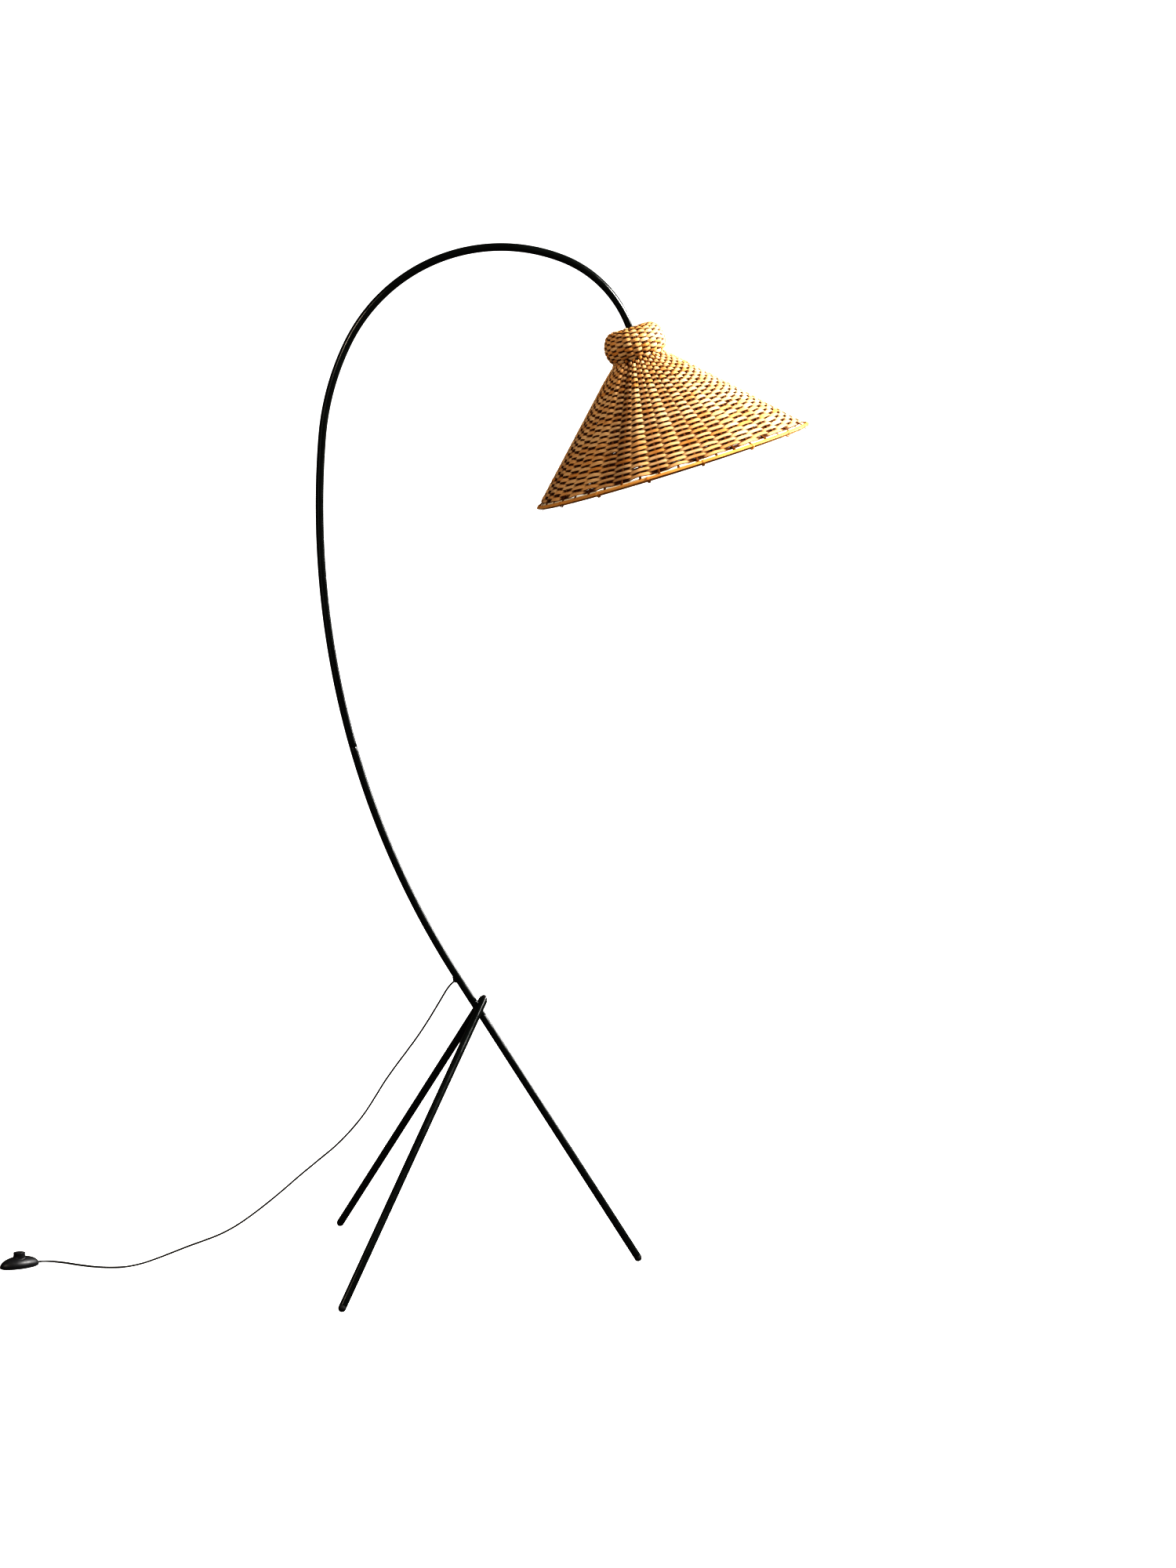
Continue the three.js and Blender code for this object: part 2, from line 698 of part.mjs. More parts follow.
// Carrier: a plate ring on the lampholder, three wire spokes and a wire ring against the neck's inside
const carrierRadius = waistRadius - gap - carrierWire;
const wireRing = new THREE.TorusGeometry(carrierRadius, carrierWire, 6, 30).translate(0, 0, waistHeight);
const plateRing = ring(carrierOuter, carrierInner, -carrierThickness / 2, carrierThickness / 2);
let carrier = solid(wireRing).add(solid(plateRing));
const spokeLow = carrierOuter - carrierThickness / 2;
for (let k = 0; k < spokeCount; k++) {
  const angle = fullTurn * k / spokeCount;
  const direction = vec(Math.cos(angle), Math.sin(angle), 0);
  const spoke = rod(spokeRadius, spokeLow, carrierRadius, 6);
  carrier = carrier.add(solid(aimed(spoke, vec(0, 0, 0), direction, vec(0, 0, 1))));
}
piece('shade_carrier', steel, carrier, head);

// Lampholder: body with a flange over the carrier, cap, retaining ring under it
const flangeLow = carrierThickness / 2 + gap;
const flangeHigh = flangeLow + holderFlangeHeight;
const capLow = flangeHigh + gap;
const insideRadius = holderRadius - holderWall;
const ledge = insertTop - insertHeight - gap;
const boreInHolder = shellRadius + gap;
piece('lampholder_body', blackPlastic, solid(turned([
  [boreInHolder, -holderBottom],
  [holderRadius, -holderBottom],
  [holderRadius, flangeLow],
  [holderFlangeRadius, flangeLow],
  [holderFlangeRadius, flangeHigh],
  [holderRadius - holderWall / 2, flangeHigh],
  [holderRadius - holderWall / 2, holderTop],
  [insideRadius, holderTop],
  [insideRadius, ledge],
  [boreInHolder, ledge],
  [boreInHolder, -holderBottom],
], holderSides)), head);
const capInner = holderRadius - holderWall / 2 + gap;
const capOuter = capInner + holderWall;
const capTop = holderDrop - gap;
piece('lampholder_cap', blackPlastic, solid(turned([
  [capInner, capLow],
  [capOuter, capLow],
  [capOuter, capLow + capSkirt],
  [capNeckRadius + holderWall, capTop - holderWall / 2],
  [capNeckRadius, capTop],
  [boreRadius, capTop],
  [boreRadius, capTop - holderWall],
  [capNeckRadius + holderWall / 2, capTop - holderWall],
  [capInner, capLow + capSkirt],
  [capInner, capLow],
], holderSides)), head);
piece('lampholder_ring', blackPlastic, solid(
  ring(ringRadius, holderRadius + gap, -flangeLow - ringHeight, -flangeLow, holderSides),
), head);

// Threaded nipple from the arc's end into the cap, with its lock nut
piece('holder_nipple', steel, solid(
  ring(plugRadius, nippleBore, nippleEnd, holderDrop + nippleInsert, 20),
), head);
const nutTop = capTop - holderWall - gap;
const nut = solid(rod(nutRadius, nutTop - nutHeight, nutTop, 6))
  .subtract(solid(rod(boreRadius, nippleEnd, holderDrop)));
piece('holder_lock_nut', brass, nut, head);

// Inside the holder: porcelain insert, screw shell and centre contact
piece('lampholder_insert', porcelain, solid(
  rod(insideRadius - gap, insertTop - insertHeight, insertTop, holderSides),
), head);
const shellTop = ledge - gap;
piece('lampholder_screw_shell', brass, solid(
  ring(shellRadius, shellRadius - shellWall, shellTop - shellHeight, shellTop, holderSides),
), head);
const contactLow = insertTop - insertHeight - gap - contactHeight;
piece('lampholder_contact', brass, solid(
  rod(contactRadius, contactLow, contactLow + contactHeight, 12),
), head);

// Bulb: screw cap and opal globe
const bulbCapRadius = shellRadius - shellWall - gap;
const bulbTop = contactLow - gap;
const bulbCapLow = bulbTop - bulbCapHeight;
piece('bulb_cap', steel, solid(turned([
  [0, bulbCapLow],
  [bulbCapRadius, bulbCapLow],
  [bulbCapRadius, bulbTop - contactRadius],
  [contactRadius, bulbTop],
  [0, bulbTop],
], holderSides)), head);
const globeTop = bulbCapLow - gap;
const globeOutside = bulbShares.map(([down, radius]) => [bulbNeckRadius * radius, globeTop - bulbLength * down]);
const globeCentre = globeTop - bulbLength + bulbRadius;
for (let k = 0; k < globeSteps; k++) {
  const angle = rad(THREE.MathUtils.lerp(globeFrom, -quarter, k / globeSteps));
  globeOutside.push([bulbRadius * Math.cos(angle), globeCentre + bulbRadius * Math.sin(angle)]);
}
globeOutside.push([0, globeTop - bulbLength]);
const globeInside = globeOutside.map(([radius, height]) => [
  Math.max(radius - bulbWall, 0), height + (radius ? 0 : bulbWall),
]);
piece('bulb_glass', opalGlass, solid(turned([
  ...globeOutside, ...globeInside.reverse(), globeOutside[0],
], 18)), head);

// The lead inside the arc, from the grommet to the lampholder
const leadOutline = oval(cordWidth, cordThickness, 6);
const leadEnd = arcLength + holderDrop - insertTop - holderWall;
const leadStart = exitAlong - cordWidth;
const leadStretch = new ArcStretch(leadStart, leadEnd);
piece('inner_lead', blackPlastic, solid(swept(leadOutline, leadStretch, leadStretch.steps)));

// Foot switch, in its own frame: origin on the floor under its middle, X along its length
const footSwitch = new THREE.Group();
footSwitch.position.set(switchPlace[0], switchPlace[1], 0);
footSwitch.rotation.z = rad(switchTurn);
lamp.add(footSwitch);

function ovalTurned(profile, inset) {
  return solid(turned(profile, 24).scale(switchHalfLength - inset, switchHalfWidth - inset, 1));
}

function domeProfile(low, high) {
  const profile = [[0, low]];
  for (let k = 0; k <= domeSteps; k++) {
    const share = Math.cos(rad(quarter) * k / domeSteps);
    const rise = (1 - share ** domePower) ** (1 / domePower);
    profile.push([k === domeSteps ? 0 : share, low + (high - low) * rise]);
  }
  return profile;
}

const mouths = solid(aimed(
  turned([[0, -1], [1, -1], [1, 1], [0, 1]], 12)
    .scale(cordWidth / 2 + gap, cordThickness / 2 + gap, switchHalfLength + overrun),
  vec(0, 0, switchSplit), vec(1, 0, 0),
));
const shellScrews = [1, -1].map((sign) => vec(sign * shellScrewPlace[0], sign * shellScrewPlace[1], 0));
const standing = (geometry, place) => solid(geometry.translate(place.x, place.y, place.z));

let bottomShell = ovalTurned([
  [0, 0], [1 - bottomChamfer / switchHalfWidth, 0], [1, bottomChamfer], [1, switchSplit], [0, switchSplit],
], 0).subtract(ovalTurned([
  [0, switchFloor], [1, switchFloor], [1, switchSplit + overrun], [0, switchSplit + overrun],
], switchWall));
for (const place of shellScrews) {
  bottomShell = bottomShell
    .add(standing(rod(shellBossRadius, switchFloor / 2, switchSplit - gap, 12), place))
    .subtract(standing(rod(shellScrewHead + gap, -overrun, shellScrewHeadHeight + gap, 12), place))
    .subtract(standing(rod(shellScrewRadius + gap, 0, switchSplit + overrun, 8), place));
}
piece('switch_bottom_shell', blackPlastic, bottomShell.subtract(mouths), footSwitch);

const domeLow = switchSplit + gap;
const domeBody = ovalTurned(domeProfile(domeLow, switchDome), 0);
const belowDome = ovalTurned([
  [0, domeLow - overrun], [1, domeLow - overrun], [1, domeLow + gap], [0, domeLow + gap],
], switchWall);
const domeHollow = ovalTurned(domeProfile(domeLow, switchDome - switchWall), switchWall).add(belowDome);
const collarBore = collarRadius - collarWall;
let topShell = domeBody.subtract(domeHollow);
for (const place of shellScrews) {
  topShell = topShell
    .add(standing(rod(shellBossRadius, domeLow, shellBossTop, 12), place).intersect(domeBody))
    .subtract(standing(rod(shellScrewRadius + gap, 0, shellScrewTop + gap, 8), place));
}
const collarLow = switchDome - 2 * switchWall;
const flangeTop = switchDome - switchWall - 2 * gap;
piece('switch_top_shell', blackPlastic, topShell
  .add(solid(ring(collarRadius, collarBore, collarLow + switchWall, collarTop, 24)))
  .subtract(solid(rod(collarBore, domeLow + overrun, collarTop + overrun, 24)))
  .subtract(solid(rod(buttonFlangeRadius + gap, collarLow - buttonTravel, flangeTop + gap, 24)))
  .subtract(mouths), footSwitch);

// Push button: cap in the collar, flange under the dome, stem to the contacts, bump to feel with a foot
const buttonRadius = collarBore - gap;
const flangeUnder = flangeTop - buttonFlangeHeight;
const stemLow = moduleTop + gap;
const button = solid(turned([
  [0, stemLow],
  [buttonStemRadius, stemLow],
  [buttonStemRadius, flangeUnder],
  [buttonFlangeRadius, flangeUnder],
  [buttonFlangeRadius, flangeTop],
  [buttonRadius, flangeTop],
  [buttonRadius, buttonTop - buttonEdge],
  [buttonRadius - buttonEdge, buttonTop],
  [0, buttonTop],
], 24)).add(standing(
  turned([[0, -bumpHeight], [bumpRadius, -bumpHeight], [bumpRadius, bumpHeight / 2], [bumpRadius / 2, bumpHeight],
    [0, bumpHeight]], 16), vec(bumpPlace, 0, buttonTop),
));
piece('switch_button', blackPlastic, button, footSwitch);

// Contact module on the floor of the switch, with a well for the stem, and a terminal at each end
const moduleLow = switchFloor + gap;
const contactBlock = solid(new THREE.BoxGeometry(moduleLength, moduleWidth, moduleTop - moduleLow)
  .translate(0, 0, (moduleTop + moduleLow) / 2))
  .subtract(solid(rod(buttonStemRadius + gap, moduleTop - buttonTravel - gap, moduleTop + overrun, 16)));
piece('switch_module', porcelain, contactBlock, footSwitch);
for (const [name, sign] of [['in', 1], ['out', -1]]) {
  const terminal = new THREE.BoxGeometry(terminalLength, terminalWidth, terminalTop - moduleLow);
  terminal.translate(sign * (moduleLength / 2 + gap + terminalLength / 2), -sign * terminalWidth / 4,
    (terminalTop + moduleLow) / 2);
  piece(`switch_terminal_${name}`, brass, solid(terminal), footSwitch);
}
shellScrews.forEach((place, k) => {
  piece(`switch_screw_${k + 1}`, steel, standing(turned([
    [0, gap],
    [shellScrewHead, gap],
    [shellScrewHead, shellScrewHeadHeight],
    [shellScrewRadius, shellScrewHeadHeight],
    [shellScrewRadius, shellScrewTop - shellScrewRadius],
    [0, shellScrewTop],
  ], 12), place), footSwitch);
});

// Return spring round the stem: a helix of round wire between the module and the button's flange
class Helix extends THREE.Curve {
  getPoint(t, target = vec(0, 0, 0)) {
    const angle = fullTurn * springTurns * t;
    const low = moduleTop + gap + springWire;
    const high = flangeUnder - gap - springWire;
    const height = THREE.MathUtils.lerp(low, high, t);
    return target.set(springRadius * Math.cos(angle), springRadius * Math.sin(angle), height);
  }
}
const wire = oval(2 * springWire, 2 * springWire, 5);
piece('button_spring', steel, solid(swept(wire, new Helix(), springTurns * 8)), footSwitch);

// Cords. A flat cord turns about its own line from one angle at its start to another at its end. Angles
// count from the sweep's first frame: level where the cord starts in a slope, upright where it starts level.
const route = (points) => new THREE.CatmullRomCurve3(points.map(([x, y, z]) => vec(x, y, z)));

function flatCord(points, startTurn = 0, endTurn = 0) {
  const path = route(points);
  const steps = Math.ceil(path.getLength() / cordStep);
  const geometry = swept(oval(cordWidth, cordThickness, 8), path, steps);
  const centres = path.getSpacedPoints(steps);
  const { tangents } = path.computeFrenetFrames(steps, false);
  const place = geometry.attributes.position;
  const point = vec(0, 0, 0);
  for (let i = 0; i < place.count; i++) {
    point.fromBufferAttribute(place, i);
    const nearest = centres.reduce((best, centre, k) => (
      point.distanceToSquared(centre) < point.distanceToSquared(centres[best]) ? k : best), 0);
    const turn = THREE.MathUtils.lerp(startTurn, endTurn, nearest / steps);
    point.sub(centres[nearest]).applyAxisAngle(tangents[nearest], rad(turn));
    point.add(centres[nearest]);
    place.setXYZ(i, point.x, point.y, point.z);
  }
  return { body: solid(geometry), length: path.getLength() };
}

const firstStretch = flatCord(lampToSwitch);
piece('cord_lamp_to_switch', blackPlastic, firstStretch.body);
const secondStretch = flatCord(switchToCoil, quarter, 0);
piece('cord_switch_to_coil', blackPlastic, secondStretch.body);
const thirdStretch = flatCord(coilToPlug, 0, quarter);
piece('cord_coil_to_plug', blackPlastic, thirdStretch.body);

// Coil: the cord stands on edge, winds in on the floor, climbs where it turns back, and winds out above
function coilAt(turns) {
  const layerShare = THREE.MathUtils.smoothstep(turns, coilTurns - coilClimb / 2, coilTurns + coilClimb / 2);
  const radius = coilOuterRadius - coilPitch * (coilTurns - Math.abs(turns - coilTurns));
  const angle = rad(coilStart) - fullTurn * turns;
  return {
    centre: vec(coilCentre[0] + radius * Math.cos(angle), coilCentre[1] + radius * Math.sin(angle),
      coilBottom + coilLayer * layerShare),
    outward: vec(Math.cos(angle), Math.sin(angle), 0),
  };
}

const coilRings = [];
const coilSteps = 2 * coilTurns * coilStepsPerTurn;
for (let k = 0; k <= coilSteps; k++) coilRings.push(coilAt(k / coilStepsPerTurn));
const coilHeading = vec(Math.sin(rad(coilStart)), -Math.cos(rad(coilStart)), 0);
for (const [end, sign] of [[0, -1], [coilSteps, 1]]) {
  const { centre, outward } = coilRings[end];
  const tail = { centre: centre.clone().addScaledVector(coilHeading, sign * coilTail), outward };
  if (sign < 0) coilRings.unshift(tail);
  else coilRings.push(tail);
}

const coilPoints = [];
const coilFaces = [];
const coilSection = oval(cordWidth, cordThickness / Math.cos(Math.PI / coilSides), coilSides);
for (const { centre, outward } of coilRings) {
  for (const { x, y } of coilSection) {
    coilPoints.push(centre.x + y * outward.x, centre.y + y * outward.y, centre.z + x);
  }
}
for (let ringIndex = 0; ringIndex < coilRings.length - 1; ringIndex++) {
  for (let side = 0; side < coilSides; side++) {
    const next = (side + 1) % coilSides;
    const [a, b] = [ringIndex * coilSides + side, ringIndex * coilSides + next];
    coilFaces.push(a, b, b + coilSides, a, b + coilSides, a + coilSides);
  }
}
const lastRing = (coilRings.length - 1) * coilSides;
for (let side = 1; side < coilSides - 1; side++) {
  coilFaces.push(0, side + 1, side, lastRing, lastRing + side, lastRing + side + 1);
}
piece('cord_coil', blackPlastic, solid(meshed(coilPoints, coilFaces)));

// The coil's least gap to itself, on points of rings that lie half a turn or more apart
let leastGap = Infinity;
let coilLength = 0;
const corners = [];
for (let i = 0; i < coilPoints.length; i += 3) corners.push(vec(...coilPoints.slice(i, i + 3)));
for (let i = 0; i < coilRings.length; i++) {
  if (i) coilLength += coilRings[i].centre.distanceTo(coilRings[i - 1].centre);
  for (let j = i + coilStepsPerTurn / 2; j < coilRings.length; j++) {
    for (let a = 0; a < coilSides; a++) {
      for (let b = 0; b < coilSides; b++) {
        leastGap = Math.min(leastGap, corners[i * coilSides + a].distanceTo(corners[j * coilSides + b]));
      }
    }
  }
}
console.log(`Coil: least gap ${leastGap.toFixed(2)} mm, asked over ${coilLeastGap} mm`);
const cordLengths = [firstStretch.length, secondStretch.length, coilLength, thirdStretch.length];
console.log(`Cord from the lamp, to the coil, in the coil, to the plug: ${cordLengths.map(Math.round).join(', ')} mm`);

// Flat two-pin plug, lying on the floor: X runs from the cord to the pins
const plug = new THREE.Group();
plug.position.set(plugPlace[0], plugPlace[1], plugThickness / 2);
plug.rotation.z = rad(plugTurn);
lamp.add(plug);

const relief = [[0, 0], [reliefSmall, 0]];
for (let k = 1; k <= 2 * reliefRibs; k++) {
  const share = k / (2 * reliefRibs + 1);
  const radius = THREE.MathUtils.lerp(reliefSmall, reliefLarge, share) + (k % 2 ? reliefRib : 0);
  relief.push([radius, reliefLength * share]);
}
relief.push([reliefLarge, reliefLength], [0, reliefLength]);
const oneX = vec(1, 0, 0);
piece('plug_strain_relief', blackPlastic, solid(aimed(turned(relief, 12), vec(0, 0, 0), oneX)), plug);

const bodyLow = reliefLength + gap;
const outline = plugOutlineShares.map(([along, wide]) => [
  bodyLow + plugEdge + (plugLength - 2 * plugEdge) * along, (plugHalfWidth - plugEdge) * wide,
]);
const plugOutline = new THREE.Shape([
  ...outline.map(([x, y]) => new THREE.Vector2(x, -y)),
  ...outline.reverse().map(([x, y]) => new THREE.Vector2(x, y)),
]);
const plugBody = new THREE.ExtrudeGeometry(plugOutline, {
  depth: plugThickness - 2 * plugEdge, bevelSize: plugEdge, bevelThickness: plugEdge, bevelSegments: 2,
}).translate(0, 0, plugEdge - plugThickness / 2);
const plugFace = bodyLow + plugLength;
let plugSolid = solid(plugBody);
for (const [name, sign] of [['left', 1], ['right', -1]]) {
  const place = vec(plugFace - pinInside, sign * pinSpacing / 2, 0);
  const hole = rod(pinRadius + gap, -gap, pinInside + overrun, 12);
  plugSolid = plugSolid.subtract(solid(aimed(hole, place, oneX)));
  piece(`plug_pin_${name}`, steel, solid(aimed(turned([
    [0, 0],
    [pinRadius, 0],
    [pinRadius, pinInside + pinLength - pinRadius / 2],
    [pinRadius / 2, pinInside + pinLength],
    [0, pinInside + pinLength],
  ], 12), place, oneX)), plug);
}
piece('plug_body', blackPlastic, plugSolid, plug);

export default lamp;
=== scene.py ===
"""Rattan arc floor lamp. A bent steel tube on three steel legs carries a woven cane shade, and a flat
cord comes out of the tube and runs over the floor by a foot switch to a plug.
Lengths are in metres and angles in degrees. The CAD frame is fixed, and every piece lies where it says."""

import bpy
import numpy as np
from mathutils import Matrix


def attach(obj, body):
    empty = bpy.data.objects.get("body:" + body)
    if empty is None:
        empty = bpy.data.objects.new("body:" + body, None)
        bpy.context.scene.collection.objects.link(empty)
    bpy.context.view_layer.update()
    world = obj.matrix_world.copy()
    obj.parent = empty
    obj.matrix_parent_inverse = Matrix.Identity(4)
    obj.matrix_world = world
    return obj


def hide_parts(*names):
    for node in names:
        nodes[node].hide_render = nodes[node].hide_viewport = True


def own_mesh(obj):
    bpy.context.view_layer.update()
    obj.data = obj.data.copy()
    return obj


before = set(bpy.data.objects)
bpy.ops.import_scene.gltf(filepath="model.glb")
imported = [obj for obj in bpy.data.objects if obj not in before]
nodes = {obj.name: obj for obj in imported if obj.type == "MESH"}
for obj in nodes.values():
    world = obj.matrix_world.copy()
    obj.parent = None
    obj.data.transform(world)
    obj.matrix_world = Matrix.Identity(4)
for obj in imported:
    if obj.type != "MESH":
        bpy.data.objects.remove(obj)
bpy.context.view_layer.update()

# Camera: it stands 5.5 m away and 1.4 m up, a little to the left, and looks a little down, as in the
# photograph. The lens is as long as 4331 of the photograph's pixels.
camera_place = np.array([-0.3810, -5.4533, 1.3679])
camera_target = np.array([0.04055, 0.0, 0.790])
lens_pixels = 4331
photo_height = 2000
sensor_height = 36.0


def link(thing):
    bpy.context.scene.collection.objects.link(thing)
    return thing


def aim(thing, place, target):
    """Turns a camera or light so that its -Z runs from its place to its target, with its Y upward."""
    back = np.array(place) - np.array(target)
    back = back / np.linalg.norm(back)
    right = np.cross([0.0, 0.0, 1.0], back)
    right = right / np.linalg.norm(right)
    turn = np.eye(4)
    turn[:3, 0], turn[:3, 1], turn[:3, 2], turn[:3, 3] = right, np.cross(back, right), back, place
    thing.matrix_world = Matrix(turn)


lens = bpy.data.cameras.new("camera")
lens.sensor_fit = "VERTICAL"
lens.sensor_height = sensor_height
lens.lens = sensor_height * lens_pixels / photo_height
camera = link(bpy.data.objects.new("camera", lens))
aim(camera, camera_place, camera_target)
bpy.context.scene.camera = camera

# Studio: a plain white floor, a strong light high on the right, a weak one from the front left, one on
# each side for the gloss alone, and a low surround. The photograph's background is pure white. Each
# light has a place, a target, a size, a power in watts, a colour and its share of diffuse light.
floor_size = 14.0
floor_color = (0.92, 0.92, 0.92, 1.0)
floor_glow = 0.74
surround_color = (1.0, 0.88, 0.74, 1.0)
surround_strength = 0.11
background_strength = 1.3
lights = [
    ("key_light", (3.4, -1.2, 3.6), (0.1, 0.0, 1.2), 0.9, 355.0, (1.0, 0.98, 0.96), 1.0),
    ("fill_light", (-3.0, -3.0, 3.2), (0.0, 0.0, 1.2), 0.8, 54.0, (1.0, 0.85, 0.70), 1.0),
    ("gloss_light_right", (3.4, 1.5, 2.4), (0.1, 0.0, 1.2), 1.8, 130.0, (1.0, 1.0, 1.0), 0.0),
    ("gloss_light_left", (-2.6, -3.4, 1.4), (0.0, 0.0, 0.9), 2.4, 11.0, (0.9, 1.0, 1.0), 0.0),
]
for name, place, target, size, power, color, diffuse_share in lights:
    light = bpy.data.lights.new(name, "AREA")
    light.size = size
    light.energy = power
    light.color = color
    light.diffuse_factor = diffuse_share
    aim(link(bpy.data.objects.new(name, light)), place, target)

floor_mesh = bpy.data.meshes.new("floor")
half = floor_size / 2
corners = [(-half, -half, 0), (half, -half, 0), (half, half, 0), (-half, half, 0)]
floor_mesh.from_pydata(corners, [], [(0, 1, 2, 3)])
floor = link(bpy.data.objects.new("floor", floor_mesh))
floor_finish = bpy.data.materials.new("studio_floor")
floor_finish.use_nodes = True
floor_shader = floor_finish.node_tree.nodes["Principled BSDF"]
floor_shader.inputs["Base Color"].default_value = floor_color
floor_shader.inputs["Roughness"].default_value = 0.9
floor_shader.inputs["Emission Color"].default_value = (1, 1, 1, 1)
floor_shader.inputs["Emission Strength"].default_value = floor_glow
floor_mesh.materials.append(floor_finish)
floor.visible_diffuse = False
floor.visible_glossy = False

surround = bpy.data.worlds.new("surround")
surround.use_nodes = True
sky = surround.node_tree
behind = sky.nodes["Background"]
behind.inputs["Color"].default_value = surround_color
behind.inputs["Strength"].default_value = surround_strength
white = sky.nodes.new("ShaderNodeBackground")
white.inputs["Strength"].default_value = background_strength
seen = sky.nodes.new("ShaderNodeLightPath")
mixed = sky.nodes.new("ShaderNodeMixShader")
sky.links.new(seen.outputs["Is Camera Ray"], mixed.inputs["Fac"])
sky.links.new(behind.outputs["Background"], mixed.inputs[1])
sky.links.new(white.outputs["Background"], mixed.inputs[2])
sky.links.new(mixed.outputs["Shader"], sky.nodes["World Output"].inputs["Surface"])
bpy.context.scene.world = surround
bpy.context.scene.view_settings.view_transform = "Standard"
bpy.context.scene.view_settings.look = "Very High Contrast"

# Hub block: a turned black core on the line of the right leg and the arc, with a short round boss
# to each left leg. Its two spigots are in the tubes. It is painted as the tubes are.
hub = np.array([-0.1373, 0.0, 0.421])
main_tilt = 32.1
core_top = 0.017
core_bottom = 0.0105
tube_radius = 0.00635
tube_wall = 0.0012
gap = 0.0003
plug_radius = tube_radius - tube_wall - gap
spigot_length = 0.030
boss_radius = 0.0055
leg_tilt = 39.95
leg_azimuth = 49.83
leg_crossing = 0.0071
leg_pitch = 2 * tube_radius + 0.0024
edge = 0.0006
axis_hole = 0.0003
core_hole = 0.002
black_color = (0.0050, 0.0068, 0.0062, 1.0)
black_tint = (0.0095, 0.0125, 0.0112, 1.0)
rearward = np.array([0.0, 1.0, 0.0])
upright = np.array([0.0, 0.0, 1.0])


def unit(vector):
    vector = np.asarray(vector, float)
    return vector / np.linalg.norm(vector, axis=-1, keepdims=True)


def circle(count):
    return np.linspace(0, 2 * np.pi, count, endpoint=False)


def toward(angle):
    """Cosine and sine of each angle, side by side."""
    return np.stack([np.cos(angle), np.sin(angle)], -1)


def eased(outline, reach, steps=3, closed=False):
    """An outline with rounded corners. Each corner becomes a short parabola from a point that lies
    reach before it to a point reach after it, at most 0.45 of either side away."""
    outline = np.asarray(outline, float)
    before, after = np.roll(outline, 1, 0) - outline, np.roll(outline, -1, 0) - outline
    sides = [np.linalg.norm(side, axis=1, keepdims=True) for side in (before, after)]
    near = [outline + side * np.minimum(reach / length, 0.45) for side, length in zip((before, after), sides)]
    share = np.linspace(0, 1, steps + 1)[None, :, None]
    rounded = (1 - share) ** 2 * near[0][:, None] + 2 * share * (1 - share) * outline[:, None]
    rounded = rounded + share ** 2 * near[1][:, None]
    if closed:
        return rounded.reshape(-1, outline.shape[1])
    inner = rounded[1:-1].reshape(-1, outline.shape[1])
    return np.concatenate([outline[:1], inner, outline[-1:]])


def turned(profile, origin, axis, sides=48, side=(0.0, 1.0, 0.0)):
    """Rings about an axis. Ring i lies profile[i, 1] along the axis, with the radius profile[i, 0]."""
    profile = np.asarray(profile, float)
    z = unit(axis)
    x = unit(np.asarray(side, float) - np.dot(side, z) * z)
    y = np.cross(z, x)
    angle = circle(sides)
    outward = np.cos(angle)[:, None] * x + np.sin(angle)[:, None] * y
    return np.asarray(origin) + profile[:, 1, None, None] * z + profile[:, 0, None, None] * outward


def shell(points, wrap=False, shift=0.0, **marks):
    """A closed surface of rings: points[i, j] goes along the piece with i and round it with j. With
    wrap the last ring joins the first, and without it both ends get a cap. Several equal surfaces
    come as points[k, i, j]. The UV map holds the distance along and round, in metres. Marks are
    numbers that a material reads, one for each surface or for each point."""
    points = np.asarray(points, float)
    points = points[None] if points.ndim == 3 else points
    count, rows, cols = points.shape[:3]
    i = np.arange(rows if wrap else rows - 1)[None, :, None]
    j = np.arange(cols)[None, None, :]
    k = np.arange(count)[:, None, None] * rows * cols
    after_i, after_j = (i + 1) % rows, (j + 1) % cols
    quads = np.stack(np.broadcast_arrays(
        k + i * cols + j, k + i * cols + after_j, k + after_i * cols + after_j, k + after_i * cols + j,
    ), -1).reshape(-1, 4)
    middle = points.mean(2)
    if wrap:
        middle = np.concatenate([middle, middle[:, :1]], 1)
    along = np.cumsum(np.linalg.norm(np.diff(middle, axis=1), axis=2), 1)
    along = np.concatenate([np.zeros((count, 1)), along], 1) + np.reshape(shift, (-1, 1))
    ring = np.concatenate([points[:, :1], points[:, :1, :1]], 2)[:, 0]
    around = np.cumsum(np.linalg.norm(np.diff(ring, axis=1), axis=2), 1)
    around = np.concatenate([np.zeros((count, 1)), around], 1)
    k = np.arange(count)[:, None, None]
    uv = np.stack([np.stack(np.broadcast_arrays(along[k, i + di], around[k, j + dj]), -1)
                   for di, dj in ((0, 0), (0, 1), (1, 1), (1, 0))], -2).reshape(-1, 4, 2)
    start = np.arange(count)[:, None] * rows * cols
    first = start + np.arange(cols)[::-1]
    last = start + (rows - 1) * cols + np.arange(cols)
    caps = np.zeros((0, cols), int) if wrap else np.concatenate([first, last])
    flat = points.reshape(-1, 3)
    fans = [quads[:, (0, 1, 2)], quads[:, (0, 2, 3)]]
    for corner in range(1, cols - 1):
        fans.append(caps[:, (0, corner, corner + 1)])
    a, b, c = np.moveaxis(flat[np.concatenate(fans)] - flat.mean(0), 1, 0)
    if np.sum(a * np.cross(b, c)) < 0:
        quads, uv, caps = quads[:, ::-1], uv[:, ::-1], caps[:, ::-1]
    marks = {name: np.broadcast_to(np.reshape(mark, (count, -1)), (count, rows * cols)).ravel()
             for name, mark in marks.items()}
    return {"points": flat, "quads": quads, "uv": uv, "caps": caps, "marks": marks}


